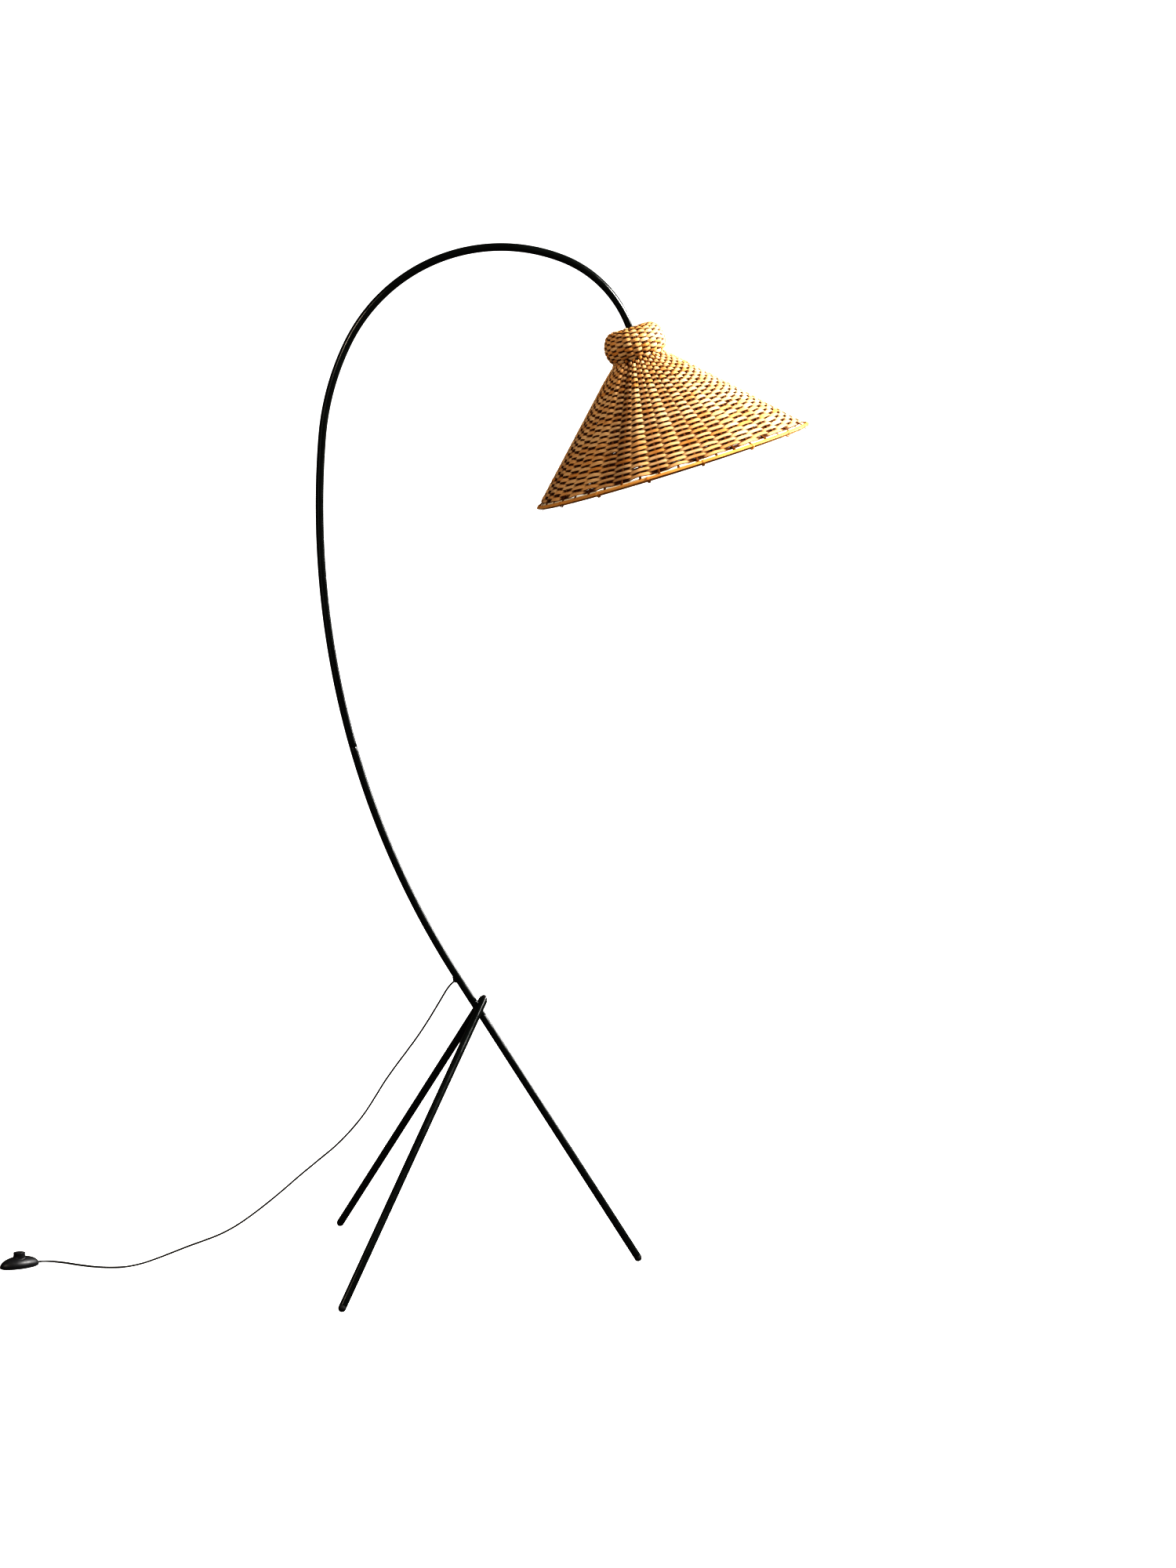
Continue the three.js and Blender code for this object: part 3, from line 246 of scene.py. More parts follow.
def piece(name, shells, finish, replaced=(), body="lamp", sharp=35):
    """One object of one or more closed surfaces, smooth but for edges sharper than an angle."""
    start = np.cumsum([0] + [len(s["points"]) for s in shells])
    faces, uv = [], []
    for s, first in zip(shells, start):
        faces += (s["quads"] + first).tolist() + (s["caps"] + first).tolist()
        uv += [s["uv"].reshape(-1, 2), np.zeros((s["caps"].size, 2))]
    mesh = bpy.data.meshes.new(name)
    mesh.from_pydata(np.concatenate([s["points"] for s in shells]), [], faces)
    mesh.uv_layers.new(name="strand").data.foreach_set("uv", np.concatenate(uv).ravel().astype(np.float32))
    for mark in shells[0]["marks"]:
        values = np.concatenate([s["marks"][mark] for s in shells]).astype(np.float32)
        mesh.attributes.new(mark, "FLOAT", "POINT").data.foreach_set("value", values)
    mesh.shade_smooth()
    mesh.set_sharp_from_angle(angle=np.radians(sharp))
    mesh.materials.append(finish)
    thing = link(bpy.data.objects.new(name, mesh))
    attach(thing, body)
    if replaced:
        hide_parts(*replaced)
    return thing


class Finish:
    """A material in the making: one Principled shader, and nodes that vary it."""

    def __init__(self, name, color, roughness, metallic=0.0):
        self.material = bpy.data.materials.new(name)
        self.material.use_nodes = True
        self.tree = self.material.node_tree
        self.shader = self.tree.nodes["Principled BSDF"]
        self.set("Base Color", color)
        self.set("Roughness", roughness)
        self.set("Metallic", metallic)
        self.height = None

    def set(self, socket, value):
        self.shader.inputs[socket].default_value = value

    def node(self, kind, values=(), **settings):
        node = self.tree.nodes.new(kind)
        for key, value in settings.items():
            setattr(node, key, value)
        for key, value in dict(values).items():
            if isinstance(value, bpy.types.NodeSocket):
                self.tree.links.new(value, node.inputs[key])
            else:
                node.inputs[key].default_value = value
        return node

    def place(self, stretch=(1.0, 1.0, 1.0), uv=False):
        """Where a pattern is read: Object coordinates or the strand's own UV map, stretched."""
        source = self.node("ShaderNodeTexCoord").outputs["UV" if uv else "Object"]
        return self.node("ShaderNodeMapping", {"Vector": source, "Scale": stretch}).outputs["Vector"]

    def noise(self, scale, detail=3.0, stretch=(1.0, 1.0, 1.0), uv=False, rough=0.5):
        values = {"Vector": self.place(stretch, uv), "Scale": scale, "Detail": detail, "Roughness": rough}
        return self.node("ShaderNodeTexNoise", values).outputs["Fac"]

    def range(self, value, low, high, to_low, to_high):
        values = {"Value": value, "From Min": low, "From Max": high, "To Min": to_low, "To Max": to_high}
        return self.node("ShaderNodeMapRange", values).outputs["Result"]

    def mix(self, share, first, second):
        node = self.node("ShaderNodeMix", data_type="RGBA")
        for index, value in ((0, share), (6, first), (7, second)):
            if isinstance(value, bpy.types.NodeSocket):
                self.tree.links.new(value, node.inputs[index])
            else:
                node.inputs[index].default_value = value
        return node.outputs[2]

    def to(self, socket, value):
        self.tree.links.new(value, self.shader.inputs[socket])

    def patchy(self, scale, low, high):
        """Roughness that drifts between two values, by a noise."""
        self.to("Roughness", self.range(self.noise(scale), 0.3, 0.7, low, high))

    def bump(self, value, distance):
        """Adds a height in metres to the bumps that are there."""
        values = {"Height": value, "Distance": distance}
        if self.height is not None:
            values["Normal"] = self.height
        self.height = self.node("ShaderNodeBump", values).outputs["Normal"]
        self.to("Normal", self.height)


def black_paint():
    """Glossy black stove enamel on steel: orange peel of about a millimetre, and faint dull patches."""
    finish = Finish("black_paint", black_color, 0.25)
    finish.set("Specular IOR Level", 0.42)
    finish.patchy(60, 0.16, 0.30)
    tint = finish.range(finish.noise(14), 0.35, 0.65, 0.0, 1.0)
    finish.to("Base Color", finish.mix(tint, black_color, black_tint))
    finish.bump(finish.noise(900, 1.0), 0.00003)
    return finish.material


paint = black_paint()
main_axis = np.array([-np.sin(np.radians(main_tilt)), 0.0, np.cos(np.radians(main_tilt))])
core = eased([
    [core_hole, -core_bottom - spigot_length],
    [plug_radius, -core_bottom - spigot_length],
    [plug_radius, -core_bottom + gap],
    [tube_radius, -core_bottom + gap],
    [tube_radius, core_top - gap],
    [plug_radius, core_top - gap],
    [plug_radius, core_top + spigot_length],
    [core_hole, core_top + spigot_length],
], edge)
hub_shells = [shell(turned(core, hub, main_axis))]
left_legs = []
for name, side in (("front", -1), ("rear", 1)):
    tilt, azimuth = np.radians(leg_tilt), np.radians(leg_azimuth)
    direction = np.array([
        np.sin(tilt) * np.cos(azimuth), -side * np.sin(tilt) * np.sin(azimuth), np.cos(tilt),
    ])
    outward = unit(np.cross(main_axis, direction)) * side
    root = hub + leg_crossing * main_axis
    left_legs.append((name, direction, outward, root, root + leg_pitch * outward))
    angle = circle(48)
    saddle = leg_pitch - np.sqrt((tube_radius + gap) ** 2 - (boss_radius * np.sin(angle)) ** 2)
    start = turned([[boss_radius, 0.002]], root, outward, 48, direction)
    reach = (saddle - 0.002)[None, :, None] * outward
    hub_shells.append(shell(start + np.linspace(0, 1, 3)[:, None, None] * reach))
piece("hub_block_turned", hub_shells, paint, ["hub_block"])

# Legs: straight steel tubes of half an inch. The left ones run past the hub, one at each side, and
# end in domed plastic plugs, and the right one is pushed on the hub's lower spigot.
leg_top = 0.010
foot_height = 0.0056
cap_collar = 0.003
bore_radius = tube_radius - tube_wall
plug_out = 0.002
plug_stem = 0.006


def tube_wall_rings(low, high):
    return eased([[tube_radius, low], [tube_radius, high], [bore_radius, high], [bore_radius, low]],
                 edge / 2, closed=True)


right_down = (hub[2] - foot_height) / main_axis[2]
right_foot = hub - right_down * main_axis
right_rings = tube_wall_rings(-right_down + cap_collar + gap, -core_bottom)
piece("right_leg_painted", [shell(turned(right_rings, hub, main_axis), wrap=True)], paint,
      ["right_leg_tube"])
feet = [("right", right_foot, main_axis)]
for name, direction, outward, root, crossing in left_legs:
    down = (crossing[2] - foot_height) / direction[2]
    rings = tube_wall_rings(-down + cap_collar + gap, leg_top)
    piece(f"{name}_leg_painted", [shell(turned(rings, crossing, direction), wrap=True)], paint,
          [f"{name}_leg_tube"])
    feet.append((name, crossing - down * direction, direction))


def black_plastic(name, color=(0.012, 0.012, 0.013, 1.0), roughness=0.42, grain=1400):
    """Moulded black plastic: fine spark grain, and a soft sheen that varies a little."""
    finish = Finish(name, color, roughness)
    finish.patchy(90, roughness - 0.06, roughness + 0.08)
    lighter = tuple(1.5 * value for value in color[:3]) + (1.0,)
    finish.to("Base Color", finish.mix(finish.range(finish.noise(25), 0.3, 0.7, 0, 1), color, lighter))
    finish.bump(finish.noise(grain, 2.0), 0.00004)
    return finish.material


# Top plugs: domed plugs of black plastic, pressed into the open upper ends of the left legs.
plug_finish = black_plastic("plug_plastic", roughness=0.25)
quarter = np.linspace(0, 0.5 * np.pi, 12)[:-1]
dome = plug_radius * toward(quarter) + [0, plug_out]
dome_profile = np.concatenate([[[0.001, -plug_stem], [plug_radius, -plug_stem]], dome])
for name, direction, outward, root, crossing in left_legs:
    rings = turned(dome_profile, crossing + leg_top * direction, direction)
    piece(f"{name}_domed_plug", [shell(rings)], plug_finish, [f"{name}_leg_top_plug"])

# Foot caps: round rubber ends with a stem in the tube, flat where they stand on the floor.
rubber = black_plastic("black_rubber", (0.011, 0.011, 0.011, 1.0), 0.62, 900)
cap_stem = 0.015
for name, foot, direction in feet:
    angle = np.linspace(-0.5 * np.pi, 0, 14)[1:]
    bottom = tube_radius * toward(angle)
    stem = [[tube_radius, cap_collar], [plug_radius, cap_collar], [plug_radius, cap_stem], [0.002, cap_stem]]
    rings = turned(np.concatenate([bottom, eased(stem, edge)]), foot, direction)
    rings[..., 2] = np.maximum(rings[..., 2], 0.0)
    piece(f"{name}_foot", [shell(rings)], rubber, [f"{name}_foot_cap"])

# Leg screws: long heads, flush with the outer side of each left leg, pull it against its boss.
screw_radius = 0.0024
screw_head_radius = 0.0033
screw_depth = 0.0026
for name, direction, outward, root, crossing in left_legs:
    head_low = leg_pitch - np.sqrt(bore_radius ** 2 - screw_head_radius ** 2) + gap
    head_high = leg_pitch + tube_radius
    profile = eased([
        [0.001, screw_depth], [screw_radius, screw_depth], [screw_radius, head_low],
        [screw_head_radius, head_low], [screw_head_radius, head_high - screw_head_radius / 3],
        [screw_head_radius / 2, head_high], [screw_head_radius / 2, head_high - 0.0012],
        [0.0002, head_high - 0.0012],
    ], edge / 2)
    piece(f"{name}_leg_fixing", [shell(turned(profile, root, outward, 32))], paint,
          [f"{name}_leg_screw"])

# Arc: the same tube, bent in four sweeps to the right and made in two sections that meet at a
# fine seam, with a steel sleeve inside.
arc_bends = [
    (0.0675, 0.0),
    (1.4139, 36.87),
    (0.4175, 21.37),
    (0.2742, 84.67),
    (0.1838, 51.79),
    (0.0160, 0.0),
]
seam_along = 0.478
arc_step = 0.007
arc_sides = 40
arc_length = sum(size * np.radians(sweep) if sweep else size for size, sweep in arc_bends)


def arc_at(distance):
    """Places and headings on the arc's centreline. A run goes straight on, and a bend turns the
    heading to the right by its angle, evenly over its length of radius times angle."""
    left = np.array(distance, float)
    heading = np.full(left.shape, np.radians(90 + main_tilt))
    place = np.broadcast_to(hub, left.shape + (3,)).copy()
    for index, (size, sweep) in enumerate(arc_bends):
        length = size * np.radians(sweep) if sweep else size
        step = np.minimum(left, length) if index == 0 else np.clip(left, 0, length)
        step = np.maximum(left, 0) if index == len(arc_bends) - 1 else step
        after = heading - (step / size if sweep else 0)
        if sweep:
            place[..., 0] += size * (np.sin(heading) - np.sin(after))
            place[..., 2] += size * (np.cos(after) - np.cos(heading))
        else:
            place[..., 0] += step * np.cos(heading)
            place[..., 2] += step * np.sin(heading)
        heading = after
        left = left - step
    return place, np.stack([np.cos(heading), np.zeros_like(heading), np.sin(heading)], -1)


def arc_rings(radius, distance):
    place, heading = arc_at(distance)
    up = np.cross(heading, rearward)
    angle = circle(arc_sides)
    ring = np.cos(angle)[None, :, None] * rearward + np.sin(angle)[None, :, None] * up[:, None]
    return place[:, None] + np.reshape(radius, (-1, 1, 1)) * ring


def arc_tube(low, high, outer, inner):
    """A tube along the arc: its outside and, the other way, its bore, joined at both eased ends."""
    distance = np.linspace(low, high, int((high - low) / arc_step))
    radius = np.full(distance.shape, outer)
    ease = edge * np.array([0.0, 0.25, 1.0]) / 2
    ends = outer - edge / 2 * np.array([1.0, 0.4, 0.0])
    distance = np.concatenate([low + ease, distance[1:-1], (high - ease)[::-1]])
    radius = np.concatenate([ends, radius[1:-1], ends[::-1]])
    back = distance[::-1][2::4]
    distance = np.concatenate([distance, [high], back, [low]])
    radius = np.concatenate([radius, [inner], np.full(back.shape, inner), [inner]])
    return [shell(arc_rings(radius, distance), wrap=True)]


piece("arc_lower_section", arc_tube(core_top, seam_along - gap / 2, tube_radius, bore_radius), paint,
      ["lower_arc_tube"])
piece("arc_upper_section", arc_tube(seam_along + gap / 2, arc_length, tube_radius, bore_radius), paint,
      ["upper_arc_tube"])

# Set screws and sleeve: headless screws of zinc-plated steel with a six-sided socket, turned in from
# the rear. The sleeve in the arc's seam is a piece of thin steel tube.
set_screw_radius = 0.002
set_screw_depth = 0.0024
socket_radius = 0.0010
socket_depth = 0.0012
sleeve_half = 0.035
sleeve_wall = 0.0012
seam_screw_along = 0.018


def zinc_steel(name="zinc_steel", color=(0.60, 0.61, 0.64, 1.0)):
    """Zinc-plated steel: bright and a little blue, with a fine grain and duller patches."""
    finish = Finish(name, color, 0.3, 1.0)
    finish.patchy(180, 0.22, 0.44)
    finish.bump(finish.noise(2600, 1.0), 0.00002)
    return finish.material


def set_screw(origin, deep):
    """A turned screw toward the rear. Its four socket rings are six-sided: their radius is the
    distance of a hexagon's side in each direction."""
    top = tube_radius
    profile = np.array([
        [axis_hole, deep], [set_screw_radius - edge / 2, deep], [set_screw_radius, deep + edge / 2],
        [set_screw_radius, top - edge / 3], [set_screw_radius - edge / 3, top],
        [socket_radius, top], [socket_radius, top - edge / 4], [socket_radius, top - socket_depth],
        [axis_hole, top - socket_depth],
    ])
    rings = turned(profile, origin, rearward, 48, main_axis)
    sixth = np.pi / 3
    hexagon = 1 / np.cos(circle(48) % sixth - sixth / 2)
    axis_point = origin + profile[5:8, 1, None, None] * rearward
    rings[5:8] = axis_point + (rings[5:8] - axis_point) * hexagon[None, :, None]
    return shell(rings)


zinc = zinc_steel()
hub_screw = arc_at(np.array([core_top + spigot_length / 2]))[0][0]
leg_screw = hub - (core_bottom + spigot_length / 2) * main_axis
seam_screw = arc_at(np.array([seam_along + seam_screw_along]))[0][0]
inside = plug_radius - set_screw_depth
for name, origin, deep in (("arc_set_screw", hub_screw, inside), ("right_leg_set_screw", leg_screw, inside),
                           ("arc_joint_set_screw", seam_screw, plug_radius - sleeve_wall + gap)):
    piece(f"{name}_socketed", [set_screw(origin, deep)], zinc, [name], sharp=30)
sleeve = arc_tube(seam_along - sleeve_half, seam_along + sleeve_half, plug_radius, plug_radius - sleeve_wall)
piece("seam_sleeve", sleeve, zinc, ["arc_joint_spigot"])

# Grommet: an oval of black rubber, snapped into the tube's wall where the cord comes out.
exit_along = 0.064
exit_heading = 222
grommet_across = 0.0046
grommet_along = 0.0076
grommet_face = tube_radius + 0.0026
cord_width = 0.005
cord_thickness = 0.003
exit_place = arc_at(np.array([exit_along]))[0][0]
exit_direction = np.array([np.cos(np.radians(exit_heading)), 0.0, np.sin(np.radians(exit_heading))])
exit_along_tube = np.cross(exit_direction, rearward)
angle = circle(48)
spread_across = np.array([1.0, 1.0, 0.95, 0.88, 0.82, 0.77, 0.73, 0.70, 0.66])
spread_along = np.array([1.0, 1.0, 0.86, 0.72, 0.60, 0.50, 0.43, 0.38, 0.32])
rise = np.array([-0.15, 0.0, 0.09, 0.22, 0.40, 0.62, 0.82, 0.96, 1.0])
wide = grommet_across * spread_across[:, None] * np.cos(angle)
tall = grommet_along * spread_along[:, None] * np.sin(angle)
inner_wide = (cord_width / 2 + gap) * np.cos(angle)
inner_tall = (cord_thickness / 2 + gap) * np.sin(angle)
wide = np.concatenate([wide, [inner_wide, inner_wide]])
tall = np.concatenate([tall, [inner_tall, inner_tall]])
rise = np.concatenate([rise, [0.98, -0.3]])
surface = np.sqrt(np.maximum(tube_radius ** 2 - wide ** 2, 0))
height = surface + (grommet_face - surface) * rise[:, None]
points = exit_place + wide[..., None] * rearward + tall[..., None] * exit_along_tube
points = points + height[..., None] * exit_direction
piece("cord_exit_grommet", [shell(points, wrap=True)], rubber, ["cord_grommet"])

# Shade: 44 cane stakes run from the rim to the neck, and go on in pairs over the knob. Flat cane
# weavers go round in close rows, over one stake and under the next, and puff up over each stake.
rim_radius = 0.22925
cone_height = 0.182
neck_radius = 0.043
knob_radius = 0.0515
knob_height = 0.052
knob_shares = [[0.192, 0.961], [0.4615, 1.0], [0.654, 0.961], [0.846, 0.864], [0.955, 0.73], [1.0, 0.58]]
knob_mouth = 0.020
shade_wall = 0.0024
hoop_thickness = 0.0022
holder_drop = 0.0257
stake_count = 44
stake_turn = 0.61
stake_width = 0.0040
stake_thickness = 0.0016
weaver_thickness = 0.0018
row_pitch = 0.00553
first_row = 0.0154
knob_sunk = 0.0032
knob_rows = 17
row_overlap = 1.30
crown_overlap = 0.12
swing_share = 0.8
unsteady_share = 0.12
slow_drift = 0.16
quick_drift = 0.09
# Painted shade: how dark the weavers are made along their edges and on the set-back columns.
edge_shade = 0.9
sunk_column_shade = 0.2
waist_shift = 0.0012
first_knob_row = 0.25
weave_steps = 10
seed = np.random.default_rng(7)

arc_end, arc_heading = [value[0] for value in arc_at(np.array([arc_length]))]
neck = arc_end + holder_drop * arc_heading
head_up = -arc_heading
head_basis = np.stack([np.cross(rearward, head_up), rearward, head_up])


def outward_of(upward):
    """The way out of the shade's wall: the way up it, turned by a right angle."""
    return np.stack([upward[..., 1], -upward[..., 0]], -1)


def distance_along(points):
    return np.concatenate([[0], np.cumsum(np.linalg.norm(np.diff(points, axis=0), axis=1))])


def in_head(points):
    """From the head's own frame, with Z up the shade's axis from the neck, to the lamp's."""
    return neck + np.asarray(points) @ head_basis


def smooth_line(points, step=None, count=None):
    """The centripetal Catmull-Rom curve through the points, as points at equal distances on it."""
    points = np.asarray(points, float)
    padded = np.concatenate([[2 * points[0] - points[1]], points, [2 * points[-1] - points[-2]]])
    p0, p1, p2, p3 = padded[:-3], padded[1:-2], padded[2:-1], padded[3:]
    d0, d1, d2 = [np.maximum(np.linalg.norm(b - a, axis=1, keepdims=True), 1e-9) ** 0.5
                  for a, b in ((p0, p1), (p1, p2), (p2, p3))]
    leave = ((p1 - p0) / d0 - (p2 - p0) / (d0 + d1) + (p2 - p1) / d1) * d1
    reach = ((p2 - p1) / d1 - (p3 - p1) / (d1 + d2) + (p3 - p2) / d2) * d1
    t = np.linspace(0, 1, 60, endpoint=False)[None, :, None]
    curve = ((2 * t ** 3 - 3 * t ** 2 + 1) * p1[:, None] + (t ** 3 - 2 * t ** 2 + t) * leave[:, None]
             + (3 * t ** 2 - 2 * t ** 3) * p2[:, None] + (t ** 3 - t ** 2) * reach[:, None])
    curve = np.concatenate([curve.reshape(-1, points.shape[1]), points[-1:]])
    far = distance_along(curve)
    count = count or int(round(far[-1] / step)) + 1
    even = np.linspace(0, far[-1], count)
    return np.stack([np.interp(even, far, axis) for axis in curve.T], 1)


slope = unit([neck_radius - rim_radius, cone_height])
level = outward_of(slope)
shell_rim = rim_radius - (hoop_thickness + gap) * level[0]
knob_points = [[neck_radius, 0.0]] + [[knob_radius * r, knob_height * h] for h, r in knob_shares]
knob_line = smooth_line(knob_points + [[knob_mouth, knob_height]], count=120)
cone_line = np.linspace([shell_rim, -cone_height], [neck_radius, 0.0], 240)[:-1]
outline = np.concatenate([cone_line, knob_line])
outline_far = distance_along(outline)
gradient = np.gradient(outline, outline_far, axis=0)
evened = [np.convolve(np.pad(part, 6, "edge"), np.ones(13) / 13, "valid") for part in gradient.T]
outline_up = unit(np.stack(evened, 1))
cone_length = np.hypot(shell_rim - neck_radius, cone_height)
sunk = np.interp(outline_far, [cone_length - 0.03, cone_length + 0.01], [shade_wall / 2, knob_sunk])
outline_mid = outline - sunk[:, None] * outward_of(outline_up)


def on_outline(far):
    """Radius and height of the weave's middle at a distance up from the rim, and the ways up and out."""
    middle = np.stack([np.interp(far, outline_far, axis) for axis in outline_mid.T], -1)
    upward = unit(np.stack([np.interp(far, outline_far, axis) for axis in outline_up.T], -1))
    return middle, upward, outward_of(upward)


def squared_off(wave, power):
    """A wave between -1 and 1 with its size raised to a power. Below one, that makes it squarer."""
    return np.sign(wave) * np.abs(wave) ** power


def strip_section(points, power=0.7):
    """A flat rounded section: cosine and sine drawn out toward a rectangle by a power."""
    angle = (np.arange(points) + 0.5) * 2 * np.pi / points
    return squared_off(toward(angle), power) / 2


def smooth_step(share):
    """From 0 to 1 with a level start and end: 3 share^2 - 2 share^3."""
    return share ** 2 * (3 - 2 * share)


cone_rows = int((cone_length - first_row) / row_pitch) + 1
knob_length = outline_far[-1] - cone_length
knob_pitch = (knob_length - 0.002) / knob_rows
row_far = np.concatenate([
    np.linspace(first_row, cone_length + waist_shift, cone_rows),
    cone_length + (np.arange(knob_rows) + first_knob_row) * knob_pitch + waist_shift,
])
row_count = len(row_far)
row_tone = np.clip(seed.normal(0.5, 0.22, row_count), 0, 1)
row_width = seed.uniform(0.94, 1.05, row_count)
row_shift = seed.uniform(0, 3, row_count)
swing = swing_share * (stake_thickness + weaver_thickness) / 2
column_spread = 0.0006
# Five columns are set back, and painted shade darkens the weavers on them.
sunk_columns = [1, 7, 31, 33, 35]
column_depth = seed.normal(0.0, column_spread, stake_count)
column_depth[sunk_columns] = -2.0 * column_spread
column_angle = (np.arange(stake_count) + stake_turn) * 2 * np.pi / stake_count


def unsteady(theta, rows, numbers):
    """The mean of sines that have the given numbers of waves round the shade, at random phases."""
    phase = seed.uniform(0, 2 * np.pi, (len(numbers), rows, 1))
    return np.sin(np.reshape(numbers, (-1, 1, 1)) * theta + phase).mean(0)


def weaver_shells(rows, columns, pitch, power):
    """Rings round the shade. A row swings out and in by a cosine that has one whole wave for every
    two columns, to a power below one, and the next row swings the other way. It is wider than the
    pitch, so that neighbours press on each other, and widest where it stands out over a stake. Small
    waves in its height, width and depth, and columns that stand a little in or out, make it a hand's
    work. Its deep mark is painted shade: high in its hollows, along its edges and on the columns that
    are set back."""
    theta = circle(columns * weave_steps)
    sign = np.where(rows % 2, -1.0, 1.0)[:, None]
    start = np.pi * stake_turn * columns / stake_count
    wave = squared_off(sign * np.cos(columns / 2 * theta - start), power)
    count = len(rows)
    drift = slow_drift * unsteady(theta, count, (2, 3, 5))
    drift = pitch * (drift + quick_drift * unsteady(theta, count, (19, 31, 43)))
    middle, upward, outward = on_outline(row_far[rows][:, None] + drift)
    across = strip_section(10)
    wide = pitch * row_width[rows][:, None] * (row_overlap + crown_overlap * np.maximum(wave, 0))
    wide = wide * (1 + unsteady_share * unsteady(theta, count, (17, 29, 37)))
    column = np.interp(theta, column_angle, column_depth, period=2 * np.pi) * columns / stake_count
    depth = swing * wave * (1 + unsteady_share * unsteady(theta, count, (13, 23, 41))) + column
    low = middle + depth[..., None] * outward
    flat = (low[:, :, None] + (wide[..., None] * across[:, 0])[..., None] * upward[:, :, None]
            + weaver_thickness * across[:, 1, None] * outward[:, :, None])
    radial = toward(theta)[None, :, None]
    points = np.concatenate([flat[..., :1] * radial, flat[..., 1:]], -1)
    # Painted shade: darker on the set-back columns, in the hollows and along the edges of each weaver.
    column_shade = np.clip(-column / column_spread, 0, 2)[:, None]
    hollow = np.maximum(0.05 - wave[..., None] * np.sign(across[:, 1]), 0) ** 1.3
    deep = hollow + edge_shade * np.abs(2 * across[:, 0]) ** 5 + sunk_column_shade * column_shade
    return shell(in_head(points), wrap=True, shift=row_shift[rows], tone=row_tone[rows], deep=deep)


# The first colour is painted shade, the near-black that the cane turns where its deep mark is high; the
# second is the brown of its fibres and flecks.
painted_shade_cane = (0.068, 0.016, 0.0012, 1.0)
brown_cane = (0.22, 0.075, 0.016, 1.0)


def cane(name, pale, honey):
    """Peeled cane: each strand has its own tone, with brown fibres along it and darker nodes. Where its
    deep mark is high, it is darkened nearly to black as painted shade."""
    finish = Finish(name, pale, 0.5)
    finish.set("Specular IOR Level", 0.3)
    tone = finish.node("ShaderNodeAttribute", attribute_name="tone").outputs["Fac"]
    drift = finish.noise(26, 2.0, (1.0, 0.0, 0.0), uv=True)
    share = finish.node("ShaderNodeMath", {0: tone, 1: drift}, operation="ADD").outputs[0]
    base = finish.mix(finish.range(share, 0.75, 1.35, 0, 1), pale, honey)
    fibre = finish.noise(1, 4.0, (45.0, 1900.0, 1.0), uv=True, rough=0.65)
    base = finish.mix(finish.range(fibre, 0.42, 0.75, 0, 0.5), base, brown_cane)
    fleck = finish.noise(1, 2.0, (60.0, 240.0, 1.0), uv=True)
    base = finish.mix(finish.range(fleck, 0.62, 0.78, 0, 0.6), base, brown_cane)
    # Painted shade: the deep mark darkens the cane toward near-black.
    deep = finish.node("ShaderNodeAttribute", attribute_name="deep").outputs["Fac"]
    base = finish.mix(finish.range(deep, 0.20, 0.90, 0, 0.96), base, painted_shade_cane)
    finish.to("Base Color", base)
    finish.to("Roughness", finish.range(fibre, 0.3, 0.7, 0.36, 0.6))
    finish.bump(fibre, 0.00012)
    return finish.material


weaver_finish = cane("weaver_cane", (0.90, 0.63, 0.36, 1.0), (0.74, 0.38, 0.12, 1.0))
# The stakes' cane is coloured dark as painted shade, for where they show in the recesses between the weavers.
stake_painted_shade_finish = cane("stake_cane", (0.42, 0.20, 0.06, 1.0), (0.30, 0.12, 0.03, 1.0))
lower, middle, upper = np.array_split(np.arange(cone_rows), 3)
knob = np.arange(cone_rows, row_count)
for name, rows, columns, pitch, power in (
    ("lower", lower, stake_count, row_pitch, 0.6), ("middle", middle, stake_count, row_pitch, 0.6),
    ("upper", upper, stake_count, row_pitch, 0.6), ("knob", knob, stake_count // 2, knob_pitch, 0.8),
):
    piece(f"weavers_{name}", [weaver_shells(rows, columns, pitch, power)], weaver_finish,
          ["shade_weave"], sharp=60)

# Stakes: each yields a little away from the weaver that presses on it. At the neck every two come
# together, and they go over the knob side by side.
stake_far = np.linspace(0.001, outline_far[-1], 260)
middle, upward, outward = on_outline(stake_far)
number = np.arange(stake_count)
pair_gap = 0.0028
merge_before = 0.012
merge_length = 0.018
stake_yield = 0.0004
stake_thinning = 0.4
stake_share = 0.62
share = smooth_step(np.clip((stake_far - cone_length + merge_before) / merge_length, 0, 1))
side = np.where(number % 2, 1.0, -1.0)[:, None] * pair_gap / 2 / middle[None, :, 0]
own = (number[:, None] + stake_turn) * 2 * np.pi / stake_count
shared = (2 * (number[:, None] // 2) + stake_turn) * 2 * np.pi / stake_count + side
stake_angle = (own + (shared - own) * share)[..., None]
row_wave = np.interp(stake_far, row_far, np.where(np.arange(row_count) % 2, -1.0, 1.0))
yielded = -stake_yield * row_wave * (1 - share) * np.where(number % 2, -1.0, 1.0)[:, None]
spacing = 2 * np.pi * middle[:, 0] / stake_count
wide = np.minimum(stake_width * (1 - stake_thinning * share), stake_share * spacing)
across = strip_section(8)
line = middle[None] + yielded[..., None] * outward[None]
flat = line[:, :, None] + stake_thickness * across[None, None, :, 1, None] * outward[None, :, None]
sideways = np.broadcast_to(wide[None, :, None] * across[None, None, :, 0], flat.shape[:3])
points = np.stack([
    flat[..., 0] * np.cos(stake_angle) - sideways * np.sin(stake_angle),
    flat[..., 0] * np.sin(stake_angle) + sideways * np.cos(stake_angle),
    flat[..., 1],
], -1)
